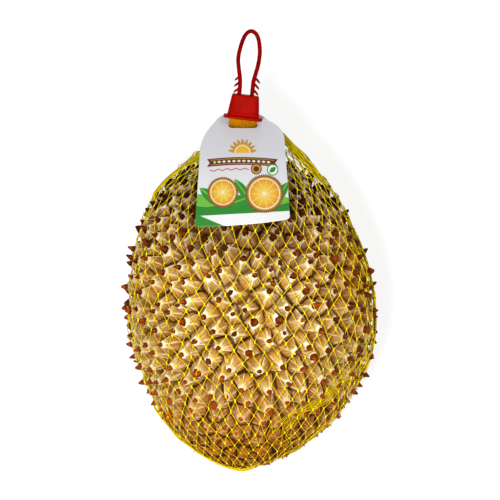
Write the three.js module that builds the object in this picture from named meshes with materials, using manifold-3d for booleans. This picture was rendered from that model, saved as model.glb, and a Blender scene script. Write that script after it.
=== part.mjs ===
// A whole durian in its sales net, lying on its back as it is laid down on a shelf.
// The husk is covered with pyramid spines, and a diamond net is drawn tight over them. The net is
// gathered at the stalk end, pulled through the slot of a card tag and locked in a plastic ferrule by
// a barbed hanging loop.
//
// Millimetres, +Z up. The fruit's long axis runs along Y with the stalk end at +Y. Everything is
// modelled around the middle of the fruit, and the last lines set the whole thing down on z = 0,
// centred on its own outline.
import * as THREE from "three";
import { ConvexHull } from "three/addons/math/ConvexHull.js";
import { mergeVertices } from "three/addons/utils/BufferGeometryUtils.js";
import Module from "manifold-3d";

const wasm = await Module();
wasm.setup();

const { PI, abs, acos, cos, floor, hypot, max, min, sin, sqrt } = Math;
const vec = (x, y, z) => new THREE.Vector3(x, y, z);

// ---- Driving dimensions ----
const HUSK_HALF_WIDTH = 89.5; // to the valleys between the spines, across X
const HUSK_HALF_DEPTH = 86; // the same across Z
const HUSK_TOP = 119; // from the middle to the stalk end
const HUSK_BOTTOM = 115; // from the middle to the blossom end
const TOP_ROUNDNESS = 0.43; // 0.5 is an ellipse, and more is a sharper end
const BOTTOM_ROUNDNESS = 0.67;
const LOBES = 5; // one for each chamber of the fruit
const LOBE_RISE = 0.014; // share of the radius
const BOW = 7; // the middle bulges this far to +X of the two ends
const BOW_SKEW = 5; // and more so below the middle

const SPINE_COUNT = 680;
const SPINE_HEIGHT = 12.5;
const HEIGHT_SPREAD = 0.3; // share of the height, from the shortest to the tallest
const SPINE_CROWDING = 1.3; // how much closer the spines stand at the two ends
const SPINE_SCATTER = 0.1; // sideways, as a share of the distance from the middle
const END_SHORTENING = 0.2; // spines at the two ends are shorter by this share
const BARE_DISC = 0.085; // radians around the stalk that carry no spines

const STALK_RADIUS = 6.5;
const STALK_LENGTH = 18;
const STALK_LEAN = 0.46; // radians, to the front

const NET_COLUMNS = 24;
const NET_ROWS = 20; // half diamonds from the neck to the blossom end
const TENT_ROWS = 3; // of these, the ones that hang free between the neck and the shoulder
const SHOULDER_LATITUDE = 1.02; // radians, where the net first meets the spines
const LAST_LATITUDE = -1.45;
const BILLOW = 7; // how far the slack net stands off on the +X side of the neck
const STRAND_WIDTH = 1.4;
const STRAND_DEPTH = 1.1;
const GAP = 0.45; // between the net and the spines it is drawn over
const REST_LEVEL = -95.5; // the surface that the fruit lies on, below its middle

const CLIP_PLACE = vec(-6.8, 155.4, 43.8); // middle of the ferrule's mouth
const CLIP_TURN = -0.122; // radians, clockwise seen from above
const CLIP_LIFT = 0.1; // radians, the loop's end up
const FERRULE_LENGTH = 19.5;
const FERRULE_ROOF = 3.5;
const FLANGE_LENGTH = 2.5;
const CORD_RADIUS = 1.3;
const CORD_HOLE_GAP = 0.3;

const CARD_THICKNESS = 0.6;
const CARD_FOOT = 72; // Y of its lower edge
const CARD_LEVEL = 87.8; // height of its underside there
const CARD_SLOPE = 0.5; // fall towards the neck, for each millimetre along Y
const CARD_BEND = 0.0019; // growth of that fall
const CARD_ROLL = 0.0016; // droop of its two sides
const CARD_CURL = 6; // lift of its lower +X corner

const SMALLEST_EDGE = 0.02; // anything finer is merged after joining and cutting

// ---- Shared helpers ----

// A repeatable draw from 0 to 1 for item i and channel k.
function draw(i, k) {
  const x = sin(i * 12.9898 + k * 78.233) * 43758.5453;
  return x - floor(x);
}

function geometryOf(points, faces) {
  const geometry = new THREE.BufferGeometry();
  geometry.setAttribute("position", new THREE.Float32BufferAttribute(points.flatMap((p) => [p.x, p.y, p.z]), 3));
  geometry.setIndex(faces.flat());
  return geometry;
}

// Closed skin over a row of rings that all have the same number of points, with a flat cap at each end.
function loft(rings) {
  const n = rings[0].length;
  const faces = [];
  for (let r = 0; r + 1 < rings.length; r++) {
    for (let k = 0; k < n; k++) {
      const a = r * n + k;
      const b = r * n + ((k + 1) % n);
      faces.push([a, b, b + n], [a, b + n, a + n]);
    }
  }
  const last = (rings.length - 1) * n;
  for (let k = 1; k + 1 < n; k++) {
    faces.push([0, k + 1, k], [last, last + k, last + k + 1]);
  }
  return geometryOf(rings.flat(), faces);
}

function toSolid(geometry) {
  const bare = geometry.clone();
  bare.deleteAttribute("normal");
  bare.deleteAttribute("uv");
  const merged = mergeVertices(bare, 1e-4);
  const solid = new wasm.Manifold(
    new wasm.Mesh({
      numProp: 3,
      vertProperties: merged.attributes.position.array,
      triVerts: new Uint32Array(merged.index.array),
    }),
  );
  return solid;
}

function fromSolid(solid) {
  const mesh = solid.simplify(SMALLEST_EDGE).getMesh();
  const geometry = new THREE.BufferGeometry();
  const positions = new Float32Array(mesh.numVert * 3);
  for (let v = 0; v < mesh.numVert; v++) {
    positions.set(mesh.vertProperties.subarray(v * mesh.numProp, v * mesh.numProp + 3), v * 3);
  }
  geometry.setAttribute("position", new THREE.BufferAttribute(positions, 3));
  geometry.setIndex(new THREE.BufferAttribute(new Uint32Array(mesh.triVerts), 1));
  return geometry;
}

// Rounded rectangle of points across the way along Y, at height y.
function roundedRing(halfX, halfZ, radius, y) {
  const perCorner = 3;
  const ring = [];
  for (let corner = 0; corner < 4; corner++) {
    for (let k = 0; k <= perCorner; k++) {
      const angle = (PI / 2) * (corner + k / perCorner);
      const sx = corner === 0 || corner === 3 ? 1 : -1;
      const sz = corner < 2 ? 1 : -1;
      ring.push(vec(sx * (halfX - radius) + radius * cos(angle), y, sz * (halfZ - radius) + radius * sin(angle)));
    }
  }
  return ring.reverse();
}

// Elliptical ring of points around a centre, across the given direction.
function ringAcross(centre, along, halfX, half, count, fold = 0) {
  const side = vec(1, 0, 0).addScaledVector(along, -along.x).normalize();
  const face = along.clone().cross(side).normalize();
  return Array.from({ length: count }, (_, k) => {
    const angle = (2 * PI * k) / count;
    const pleat = k % 2 ? 1 - fold : 1;
    return centre
      .clone()
      .addScaledVector(side, pleat * halfX * cos(angle))
      .addScaledVector(face, pleat * half * sin(angle));
  });
}

// ---- The fruit's outline ----

function halfWidthAt(y) {
  const reach = y > 0 ? HUSK_TOP : HUSK_BOTTOM;
  const roundness = y > 0 ? TOP_ROUNDNESS : BOTTOM_ROUNDNESS;
  return HUSK_HALF_WIDTH * max(0, 1 - (y / reach) ** 2) ** roundness;
}

function bowAt(y) {
  const s = -y / (y > 0 ? HUSK_TOP : HUSK_BOTTOM);
  const bulge = max(0, 1 - s * s);
  return BOW * (bulge - 1) + BOW_SKEW * s * bulge;
}

// Distance from the middle to the husk's valley level along the unit direction u, by halving.
function huskRadius(u) {
  let inside = 0;
  let outside = 1.4 * HUSK_TOP;
  for (let k = 0; k < 40; k++) {
    const r = (inside + outside) / 2;
    const y = r * u.y;
    const x = r * u.x - bowAt(y);
    const z = (r * u.z * HUSK_HALF_WIDTH) / HUSK_HALF_DEPTH;
    const lobed = 1 + LOBE_RISE * cos(LOBES * Math.atan2(x, z));
    if (abs(y) < (y > 0 ? HUSK_TOP : HUSK_BOTTOM) && hypot(x, z) < halfWidthAt(y) * lobed) inside = r;
    else outside = r;
  }
  return inside;
}

const huskPoint = (u) => u.clone().multiplyScalar(huskRadius(u));

const STALK_ROOT = vec(bowAt(HUSK_TOP), HUSK_TOP, 0);

// Outward normal of the valley-level surface, from two points close by on either side.
function huskNormal(u) {
  const step = 0.03;
  const east = vec(u.z, 0, -u.x).normalize();
  const north = vec(0, 1, 0).addScaledVector(u, -u.y).normalize();
  const side = (axis, s) => huskPoint(u.clone().addScaledVector(axis, s * step).normalize());
  const along = side(east, 1).sub(side(east, -1));
  const up = side(north, 1).sub(side(north, -1));
  const normal = up.cross(along).normalize();
  return normal.dot(u) < 0 ? normal.negate() : normal;
}

// ---- Spines ----

// Directions of the spines: a golden-angle spiral whose turns follow the surface area, then scattered.
function spineDirections() {
  const slices = 400;
  const areas = [0];
  for (let k = 0; k < slices; k++) {
    const y0 = -HUSK_BOTTOM + ((HUSK_TOP + HUSK_BOTTOM) * k) / slices;
    const y1 = y0 + (HUSK_TOP + HUSK_BOTTOM) / slices;
    const r0 = halfWidthAt(y0);
    const r1 = halfWidthAt(y1);
    const middle = (y0 + y1) / 2;
    const end = abs(middle) / (middle > 0 ? HUSK_TOP : HUSK_BOTTOM);
    areas.push(areas[k] + ((r0 + r1) / 2) * hypot(y1 - y0, r1 - r0) * (1 + SPINE_CROWDING * end ** 4));
  }
  const golden = PI * (3 - sqrt(5));
  const directions = [];
  for (let i = 0; i < SPINE_COUNT; i++) {
    const wanted = (areas[slices] * (i + 0.5)) / SPINE_COUNT;
    let k = 0;
    while (areas[k + 1] < wanted) k++;
    const share = (k + (wanted - areas[k]) / (areas[k + 1] - areas[k])) / slices;
    const y = -HUSK_BOTTOM + (HUSK_TOP + HUSK_BOTTOM) * share;
    const angle = i * golden;
    const r = halfWidthAt(y);
    const u = vec(r * sin(angle) + bowAt(y), y, (r * cos(angle) * HUSK_HALF_DEPTH) / HUSK_HALF_WIDTH).normalize();
    u.add(vec(draw(i, 1) - 0.5, draw(i, 2) - 0.5, draw(i, 3) - 0.5).multiplyScalar(SPINE_SCATTER)).normalize();
    directions.push(u);
  }
  return directions;
}

function spineHeight(i, u) {
  const fromStalk = acos(min(1, u.dot(STALK_ROOT.clone().normalize())));
  const bare = min(1, max(0, fromStalk / BARE_DISC - 1));
  const spread = 1 + HEIGHT_SPREAD * (draw(i, 4) - 0.5);
  return SPINE_HEIGHT * spread * (1 - END_SHORTENING * abs(u.y) ** 6) * bare;
}

// The husk as cells: each spine's root, tip and the corners of the valley around it.
// The corners are the directions equally far from three neighbouring spines.
function huskCells() {
  const directions = spineDirections();
  const hull = new ConvexHull().setFromPoints(directions);
  const key = (p) => p.toArray().map((v) => v.toFixed(6)).join();
  const indexOf = new Map(directions.map((u, i) => [key(u), i]));
  const corners = [];
  const aroundSpine = directions.map(() => []);
  for (const face of hull.faces) {
    const ids = [face.edge, face.edge.next, face.edge.prev].map((edge) => indexOf.get(key(edge.vertex.point)));
    const [a, b, c] = ids.map((i) => directions[i]);
    const u = b.clone().sub(a).cross(c.clone().sub(a)).normalize();
    if (u.dot(a) < 0) u.negate();
    ids.forEach((i) => aroundSpine[i].push(corners.length));
    corners.push(huskPoint(u));
  }
  const spines = directions.map((u, i) => {
    const root = huskPoint(u);
    const tip = root.clone().addScaledVector(huskNormal(u), spineHeight(i, u));
    tip.z = max(tip.z, REST_LEVEL + STRAND_DEPTH + GAP);
    const east = vec(u.z, 0, -u.x).normalize();
    const north = u.clone().cross(east);
    const angleOf = (c) => Math.atan2(corners[c].dot(north), corners[c].dot(east));
    const ring = aroundSpine[i].sort((c, d) => {
      const relative = (e) => {
        const offset = corners[e].clone().sub(root);
        return Math.atan2(offset.dot(north), offset.dot(east));
      };
      return relative(c) - relative(d) || angleOf(c) - angleOf(d);
    });
    return { u, root, tip, ring };
  });
  return { spines, corners };
}

// One pyramid for each spine, sharing the valleys with its neighbours.
function huskGeometry({ spines, corners }) {
  const points = [...corners, ...spines.map((s) => s.tip)];
  const faces = [];
  spines.forEach(({ ring, root, u }, i) => {
    ring.forEach((c, k) => {
      const next = ring[(k + 1) % ring.length];
      const turn = corners[c].clone().sub(root).cross(corners[next].clone().sub(root)).dot(u);
      const pair = turn > 0 ? [c, next] : [next, c];
      faces.push([...pair, corners.length + i]);
    });
  });
  return geometryOf(points, faces);
}

// ---- How far a point is from the spines ----

// Each spine's flanks as planes, for the test below.
function flankPlanes({ spines, corners }) {
  return spines.map(({ ring, tip, u }) =>
    ring.map((c, k) => {
      const plane = new THREE.Plane().setFromCoplanarPoints(tip, corners[c], corners[ring[(k + 1) % ring.length]]);
      return plane.normal.dot(u) < 0 ? plane.negate() : plane;
    }),
  );
}

// The flank under point p and the distance of p from it, negative inside the husk.
function nearestFlank(p, spines, planes) {
  let cell = 0;
  let best = -Infinity;
  for (let i = 0; i < spines.length; i++) {
    const along = p.x * spines[i].u.x + p.y * spines[i].u.y + p.z * spines[i].u.z;
    if (along > best) {
      best = along;
      cell = i;
    }
  }
  let flank = planes[cell][0];
  let gap = -Infinity;
  for (const plane of planes[cell]) {
    const distance = plane.distanceToPoint(p);
    if (distance > gap) {
      gap = distance;
      flank = plane;
    }
  }
  return { gap, normal: flank.normal };
}

// ---- The clip's place ----

const clipFrame = new THREE.Matrix4()
  .makeRotationFromEuler(new THREE.Euler(CLIP_LIFT, 0, CLIP_TURN, "ZXY"))
  .setPosition(CLIP_PLACE);
const inClip = (x, y, z) => vec(x, y, z).applyMatrix4(clipFrame);

// ---- The net ----

// Middle line of the gathered neck: behind the card, through its slot and up into the ferrule.
const NECK_LINE = new THREE.CatmullRomCurve3([
  vec(-6.4, 143, 18),
  vec(-6.4, 147.2, 26),
  vec(-6.5, 149.9, 34.2),
  vec(-6.7, 152.4, 40.2),
  inClip(0, 0.5, 0.6),
  inClip(0, 10.5, 0.1),
]);
const NECK_START = NECK_LINE.getPoint(0);
const NECK_WAY = vec(0, 0.8, 0.6);
const TAIL_TILT = 0.35; // radians, from the blossom end round to the back
const TAIL_WAY = vec(-0.02, -cos(TAIL_TILT), -sin(TAIL_TILT)).normalize();
const TAIL_START = TAIL_WAY.clone().multiplyScalar(huskRadius(TAIL_WAY) + SPINE_HEIGHT * (1 - END_SHORTENING) + 4);

// Where a knot starts, for its row and its angle around the fruit, before the net settles.
function firstPlace(row, angle) {
  const neck = NECK_START.clone().add(vec(16 * sin(angle), -4.8 * cos(angle), 6.4 * cos(angle)));
  if (row === 0) return neck;
  const onFruit = (latitude) => {
    const tilt = 0.12 * max(0, sin(latitude)) + TAIL_TILT * max(0, -sin(latitude)) ** 3;
    const u = vec(cos(latitude) * sin(angle), sin(latitude), cos(latitude) * cos(angle));
    u.applyAxisAngle(vec(1, 0, 0), tilt);
    return u.multiplyScalar(huskRadius(u) + SPINE_HEIGHT + 1.5);
  };
  if (row <= TENT_ROWS) return neck.lerp(onFruit(SHOULDER_LATITUDE), row / TENT_ROWS);
  if (row === NET_ROWS) return TAIL_START.clone().add(vec(9 * sin(angle), -3 * cos(angle), 8.5 * cos(angle)));
  const share = (row - TENT_ROWS) / (NET_ROWS - TENT_ROWS);
  return onFruit(SHOULDER_LATITUDE + (LAST_LATITUDE - SHOULDER_LATITUDE) * share);
}

function settleNet(cells) {
  const planes = flankPlanes(cells);
  const knots = [];
  for (let row = 0; row <= NET_ROWS; row++) {
    for (let column = 0; column < NET_COLUMNS; column++) {
      knots.push(firstPlace(row, (2 * PI * (column + (row % 2) / 2)) / NET_COLUMNS));
    }
  }
  const id = (row, column) => row * NET_COLUMNS + ((column + NET_COLUMNS) % NET_COLUMNS);
  const strands = [];
  for (let row = 0; row < NET_ROWS; row++) {
    for (let column = 0; column < NET_COLUMNS; column++) {
      const other = row % 2 ? column + 1 : column - 1;
      strands.push([id(row, column), id(row + 1, column)], [id(row, column), id(row + 1, other)]);
    }
  }
  const fixed = (k) => k < NET_COLUMNS || k >= NET_ROWS * NET_COLUMNS;
  const clearance = STRAND_DEPTH + GAP;

  // Pull: each knot goes part of the way to the middle of its neighbours, as under even tension.
  const pull = (share) => {
    const sums = knots.map(() => vec(0, 0, 0));
    const counts = knots.map(() => 0);
    for (const [a, b] of strands) {
      sums[a].add(knots[b]);
      sums[b].add(knots[a]);
      counts[a]++;
      counts[b]++;
    }
    knots.forEach((p, k) => {
      if (!fixed(k)) p.lerp(sums[k].divideScalar(counts[k]), share);
    });
  };

  // Push: each strand is tested at even steps and where it passes closest to each spine's axis.
  const push = (strength) => {
    const moves = knots.map(() => vec(0, 0, 0));
    const counts = knots.map(() => 0);
    let worst = 0;
    for (const [a, b] of strands) {
      const start = knots[a];
      const span = knots[b].clone().sub(start);
      const length = span.length();
      const middle = start.clone().addScaledVector(span, 0.5);
      const steps = [0.02, 0.25, 0.5, 0.75, 0.98];
      for (const { root, tip } of cells.spines) {
        if (tip.distanceToSquared(middle) > (length / 2 + 4) ** 2) continue;
        const axis = tip.clone().sub(root).normalize();
        const across = span.clone().addScaledVector(axis, -span.dot(axis));
        const offset = tip.clone().sub(start);
        const s = offset.dot(across) / max(1e-9, across.lengthSq());
        if (s > 0.02 && s < 0.98) steps.push(s);
      }
      for (const s of steps) {
        const p = start.clone().addScaledVector(span, s);
        const { gap, normal } = nearestFlank(p, cells.spines, planes);
        const lack = clearance - gap;
        const held = (fixed(a) ? 1 - s : 0) + (fixed(b) ? s : 0);
        if (lack <= 0 || held > 0.6) continue;
        worst = max(worst, lack);
        const share = (strength * lack) / ((1 - s) ** 2 + s ** 2);
        if (!fixed(a)) moves[a].addScaledVector(normal, share * (1 - s));
        if (!fixed(b)) moves[b].addScaledVector(normal, share * s);
        counts[a]++;
        counts[b]++;
      }
    }
    knots.forEach((p, k) => {
      if (counts[k]) p.addScaledVector(moves[k], 1 / sqrt(counts[k]));
      if (p.z < REST_LEVEL + 1.5) p.z = REST_LEVEL;
    });
    return worst;
  };

  for (let k = 0; k < 60; k++) {
    pull(0.12);
    push(0.8);
  }
  for (let k = 0; k < 60; k++) push(0.6);
  knots.forEach((p, k) => {
    const row = floor(k / NET_COLUMNS);
    const side = p.x - NECK_START.x;
    if (row < TENT_ROWS && side > 0) {
      const share = sin((PI * row) / TENT_ROWS);
      p.add(vec(0.64, 0.77, 0).multiplyScalar(BILLOW * share * min(1, side / 25)));
    }
  });
  return { knots, strands, id };
}

// The net as one skin: three-sided strands, flat side out, that meet in four-cornered knots.
function netSkin({ knots, strands, id }) {
  const points = [];
  const faces = [];
  const add = (p) => points.push(p) - 1;
  const links = knots.map(() => ({}));
  strands.forEach(([a, b], k) => {
    // Even entries run straight down the column, odd ones cross to the next.
    const row = floor(a / NET_COLUMNS);
    const toEast = (k % 2 === 0) === (row % 2 === 0);
    links[a][toEast ? "SE" : "SW"] = b;
    links[b][toEast ? "NW" : "NE"] = a;
  });
  const bodies = knots.map((p, k) => {
    const link = links[k];
    const row = floor(k / NET_COLUMNS);
    const column = k % NET_COLUMNS;
    const east = knots[id(row, column + 1)].clone().sub(knots[id(row, column - 1)]).normalize();
    const above = knots[link.NE ?? k].clone().add(knots[link.NW ?? k]);
    const below = knots[link.SE ?? k].clone().add(knots[link.SW ?? k]);
    const north = above.sub(below).normalize();
    const out = north.clone().cross(east).normalize().negate();
    const toward = (name, fallback) => (link[name] === undefined ? fallback : knots[link[name]].clone().sub(p).normalize());
    const ways = {
      NE: toward("NE", north.clone().add(east).normalize()),
      SE: toward("SE", east.clone().sub(north).normalize()),
      SW: toward("SW", north.clone().add(east).normalize().negate()),
      NW: toward("NW", north.clone().sub(east).normalize()),
    };
    const corner = (one, two) => {
      const bisector = ways[one].clone().add(ways[two]).normalize();
      const half = acos(min(1, max(-1, ways[one].dot(ways[two])))) / 2;
      return add(p.clone().addScaledVector(bisector, min(STRAND_WIDTH / 2 / sin(half), 1.6 * STRAND_WIDTH)));
    };
    const E = corner("NE", "SE");
    const S = corner("SE", "SW");
    const W = corner("SW", "NW");
    const N = corner("NW", "NE");
    const deep = add(p.clone().addScaledVector(out, -STRAND_DEPTH));
    faces.push([N, W, S], [N, S, E]);
    return { E, S, W, N, deep, ports: { NE: [N, E], SE: [E, S], SW: [S, W], NW: [W, N] } };
  });
  knots.forEach((_, k) => {
    for (const [name, [first, second]] of Object.entries(bodies[k].ports)) {
      const other = links[k][name];
      if (other === undefined) {
        faces.push([first, second, bodies[k].deep]);
        continue;
      }
      if (name[0] === "N") continue;
      const [back, front] = bodies[other].ports[name === "SE" ? "NW" : "NE"];
      const near = bodies[k].deep;
      const far = bodies[other].deep;
      faces.push([first, second, back], [first, back, front]);
      faces.push([second, near, far], [second, far, back]);
      faces.push([near, first, front], [near, front, far]);
    }
  });
  return geometryOf(points, faces);
}

// The gathered neck: a pleated bundle that flares into the net at its lower end.
function neckBundle() {
  const stations = [
    { t: 0, halfX: 17.5, half: 9 },
    { t: 0.2, halfX: 11.6, half: 4.6 },
    { t: 0.4, halfX: 10.4, half: 3.4 },
    { t: 0.6, halfX: 10.2, half: 3.6 },
    { t: 0.8, halfX: 10, half: 3.7 },
    { t: 1, halfX: 9, half: 3.1 },
  ];
  const rings = stations.map(({ t, halfX, half }) => {
    const along = t === 0 ? NECK_WAY : NECK_LINE.getTangent(t);
    return ringAcross(NECK_LINE.getPoint(t), along, halfX, half, 40, 0.08);
  });
  return loft(rings);
}

// The gathered and sealed tail behind the blossom end, bent over so that it lies along the husk.
function tailGather() {
  const stations = [
    { out: -2, back: 0, halfX: 10.8, half: 10.2 },
    { out: 2.5, back: 0.5, halfX: 10.5, half: 9.5 },
    { out: 6, back: 3, halfX: 6.5, half: 4.5 },
    { out: 7, back: 9, halfX: 6, half: 3 },
    { out: 6.5, back: 16, halfX: 9, half: 1.6 },
  ];
  const backward = vec(0, sin(TAIL_TILT), -cos(TAIL_TILT));
  const rings = stations.map(({ out, back, halfX, half }, k) => {
    const lean = min(1, k / 3);
    const along = TAIL_WAY.clone().multiplyScalar(1 - lean).addScaledVector(backward, lean).normalize();
    const centre = TAIL_START.clone().addScaledVector(TAIL_WAY, out).addScaledVector(backward, back);
    return ringAcross(centre, along, halfX, half, 24, 0.08);
  });
  return loft(rings);
}

// Knots that still touch a spine are lifted until the two are apart.
function clearOf(husk, net) {
  for (;;) {
    const touching = toSolid(netSkin(net)).intersect(husk);
    if (touching.isEmpty()) return;
    const marks = fromSolid(touching).attributes.position;
    const lifted = new Set();
    for (let k = 0; k < marks.count; k++) {
      const mark = vec(0, 0, 0).fromBufferAttribute(marks, k);
      for (const [a, b] of net.strands) {
        const near = new THREE.Line3(net.knots[a], net.knots[b]).closestPointToPoint(mark, true, vec(0, 0, 0));
        if (near.distanceTo(mark) < 1.8 * STRAND_WIDTH) lifted.add(near.distanceTo(net.knots[a]) < near.distanceTo(net.knots[b]) ? a : b);
      }
    }
    for (const k of lifted) net.knots[k].addScaledVector(net.knots[k].clone().normalize(), 0.2);
  }
}

// ---- The stalk ----

function stalk(husk) {
  const along = vec(0, cos(STALK_LEAN), sin(STALK_LEAN));
  const stations = [
    { t: -5, r: 1.35 },
    { t: 0, r: 1.3 },
    { t: 2.5, r: 1.06 },
    { t: 6, r: 0.94 },
    { t: 0.62 * STALK_LENGTH, r: 0.96 },
    { t: STALK_LENGTH - 2.2, r: 1.08 },
    { t: STALK_LENGTH - 0.5, r: 1.04 },
    { t: STALK_LENGTH, r: 0.94 },
  ];
  const rings = stations.map(({ t, r }) => {
    const lean = max(0, t) / STALK_LENGTH;
    const centre = STALK_ROOT.clone().add(vec(0, t * (1 - 0.1 * lean), 0.5 * max(0, t) * lean));
    const way = lean > 0.3 ? along : vec(0, 1, 0);
    return ringAcross(centre, way, r * STALK_RADIUS, r * STALK_RADIUS, 18);
  });
  return toSolid(loft(rings)).subtract(husk.translate(0, 0.05, 0));
}

// ---- The card tag ----

// Height of the card's underside over plan position (x, y).
function cardLevel(x, y) {
  const up = y - CARD_FOOT;
  const corner = max(0, (x + 5) / 36) * max(0, 1 - up / 46);
  return CARD_LEVEL - CARD_SLOPE * up - CARD_BEND * up ** 2 - CARD_ROLL * (x + 6) ** 2 + CARD_CURL * corner ** 2;
}

function cardSolid() {
  const across = 8;
  const along = 9;
  const grid = (lift) => {
    const points = [];
    for (let j = 0; j <= along; j++) {
      for (let k = 0; k <= across; k++) {
        const x = -55 + (98 * k) / across;
        const y = 60 + (110 * j) / along;
        points.push(vec(x, y, cardLevel(x, y) + lift));
      }
    }
    return points;
  };
  const thick = CARD_THICKNESS * hypot(1, CARD_SLOPE + CARD_BEND * CARD_FOOT);
  const points = [...grid(thick), ...grid(0)];
  const under = (along + 1) * (across + 1);
  const at = (k, j) => j * (across + 1) + k;
  const faces = [];
  for (let j = 0; j < along; j++) {
    for (let k = 0; k < across; k++) {
      const [a, b, c, d] = [at(k, j), at(k + 1, j), at(k + 1, j + 1), at(k, j + 1)];
      faces.push([a, b, c], [a, c, d], [a + under, c + under, b + under], [a + under, d + under, c + under]);
    }
  }
  const rim = [];
  for (let k = 0; k < across; k++) rim.push(at(k, 0));
  for (let j = 0; j < along; j++) rim.push(at(across, j));
  for (let k = across; k > 0; k--) rim.push(at(k, along));
  for (let j = along; j > 0; j--) rim.push(at(0, j));
  rim.forEach((a, k) => {
    const b = rim[(k + 1) % rim.length];
    faces.push([b, a, a + under], [b, a + under, b + under]);
  });
  const outline = new THREE.Shape()
    .moveTo(-44.5, 72)
    .quadraticCurveTo(-44.5, 69.5, -42, 69.6)
    .quadraticCurveTo(-5, 70.2, 27.2, 75.2)
    .quadraticCurveTo(30.8, 75.8, 30.6, 79)
    .lineTo(26.4, 141)
    .quadraticCurveTo(24, 150, 14, 154)
    .quadraticCurveTo(8, 160, 2, 160)
    .lineTo(-16, 160)
    .quadraticCurveTo(-25, 160, -29.6, 152.6)
    .quadraticCurveTo(-39, 143, -40.6, 132)
    .closePath();
  const slot = new THREE.Path()
    .moveTo(-14.3, 146)
    .lineTo(1.3, 146)
    .absarc(1.3, 150, 4, -PI / 2, PI / 2, false)
    .lineTo(-14.3, 154)
    .absarc(-14.3, 150, 4, PI / 2, (3 * PI) / 2, false);
  outline.holes.push(slot);
  const cutter = new THREE.ExtrudeGeometry(outline, { depth: 140, bevelEnabled: false, curveSegments: 5 });
  cutter.translate(0, 0, -10);
  return toSolid(geometryOf(points, faces)).intersect(toSolid(cutter));
}

// ---- The ferrule and its loop, in the clip's own frame: +Y away from the mouth, +Z to the front ----

function ferruleSolid() {
  const corner = 3.6;
  const body = loft([
    roundedRing(12.75, 6.6, corner, 0.5),
    roundedRing(12.75, 6.6, corner, FLANGE_LENGTH),
    roundedRing(11.1, 5.9, corner, FERRULE_LENGTH - 1.4),
    roundedRing(10.3, 5.1, corner - 0.7, FERRULE_LENGTH),
  ]);
  const flange = loft([
    roundedRing(15.1, 8.2, 5, 0),
    roundedRing(15.6, 8.7, 5.2, 0.6),
    roundedRing(15.6, 8.7, 5.2, FLANGE_LENGTH - 0.6),
    roundedRing(15, 8.1, 4.8, FLANGE_LENGTH),
  ]);
  const cavity = loft([
    roundedRing(11.8, 6, 3, -1),
    roundedRing(10.9, 4.8, 2.6, FLANGE_LENGTH),
    roundedRing(9.4, 4.2, 2.6, FERRULE_LENGTH - FERRULE_ROOF),
  ]);
  const panel = loft([roundedRing(8.6, 2, 1.2, 5), roundedRing(7.4, 2, 1.2, FERRULE_LENGTH - 4)]);
  panel.rotateX(-0.043);
  panel.translate(0, 0, 7.6);
  const hole = new THREE.CylinderGeometry(CORD_RADIUS + CORD_HOLE_GAP, CORD_RADIUS + CORD_HOLE_GAP, 12, 16);
  let solid = toSolid(body).add(toSolid(flange)).subtract(toSolid(cavity)).subtract(toSolid(panel));
  for (const x of [-5.2, 5]) {
    solid = solid.subtract(toSolid(hole.clone().translate(x, FERRULE_LENGTH, 0)));
  }
  return solid;
}

function loopSolid() {
  const bar = FERRULE_LENGTH - FERRULE_ROOF - 2.6;
  const line = new THREE.CatmullRomCurve3(
    [
      vec(-5.2, bar + 1.4, 0),
      vec(-5.2, 20.5, 0),
      vec(-5.4, 26.5, 0),
      vec(-6, 31.5, 0),
      vec(-9.2, 45.8, 0),
      vec(-9.3, 51.5, 0),
      vec(-7.4, 63, 0),
      vec(-5, 68.4, 0),
      vec(-1.8, 70.5, 0),
      vec(1.4, 69.5, 0),
      vec(4.2, 66, 0),
      vec(7, 55, 0),
      vec(6.9, 43.8, 0),
      vec(5.9, 37.5, 0),
      vec(4.9, 31, 0),
      vec(4.9, 26, 0),
      vec(5, 20.5, 0),
      vec(5, bar + 1.4, 0),
      vec(3.6, bar, 0),
      vec(-3.8, bar, 0),
    ],
    true,
    "centripetal",
  );
  let solid = toSolid(new THREE.TubeGeometry(line, 72, CORD_RADIUS, 12, true));
  const barb = new THREE.ConeGeometry(0.95, 6.4, 8).translate(0, 2.2, 0);
  for (const side of [-1, 1]) {
    for (const y of [24.6, 29.4, 34.2]) {
      const turn = side < 0 ? 0.75 * PI : -0.75 * PI;
      solid = solid.add(toSolid(barb.clone().rotateZ(turn).translate(side * (5.3 + 0.03 * (y - 24)), y, 0)));
    }
  }
  return solid;
}

// ---- Everything together ----

const cells = huskCells();
const husk = toSolid(huskGeometry(cells));
const net = settleNet(cells);
clearOf(husk, net);

const group = new THREE.Group();
function piece(name, geometry, color, roughness) {
  const mesh = new THREE.Mesh(geometry, new THREE.MeshStandardMaterial({ color, roughness }));
  mesh.name = name;
  group.add(mesh);
}
const netBag = toSolid(netSkin(net)).add(toSolid(neckBundle())).add(toSolid(tailGather()));
piece("durian_husk", huskGeometry(cells), 0xc7a06a, 0.8);
piece("fruit_stalk", fromSolid(stalk(husk)), 0x6e5a3a, 0.85);
piece("net_bag", fromSolid(netBag), 0xe6c800, 0.45);
piece("label_card", fromSolid(cardSolid()), 0xeeeef0, 0.4);
piece("clip_ferrule", fromSolid(ferruleSolid()).applyMatrix4(clipFrame), 0xb81404, 0.3);
piece("clip_loop", fromSolid(loopSolid()).applyMatrix4(clipFrame), 0xa01000, 0.35);

// Set down on z = 0, centred on its outline.
group.updateMatrixWorld(true);
const bounds = new THREE.Box3().setFromObject(group);
const middle = bounds.getCenter(vec(0, 0, 0));
group.position.set(-middle.x, -middle.y, -bounds.min.z);

export default group;
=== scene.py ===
"""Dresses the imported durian: spiny husk, drawn-tight net, card tag, ferrule, hanging loop and stalk.

Everything is worked out in millimetres around the middle of the fruit, with +Y towards the stalk end
and +Z up through the side that carries the card, and is put into the frame's metres at the end.
"""

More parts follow.
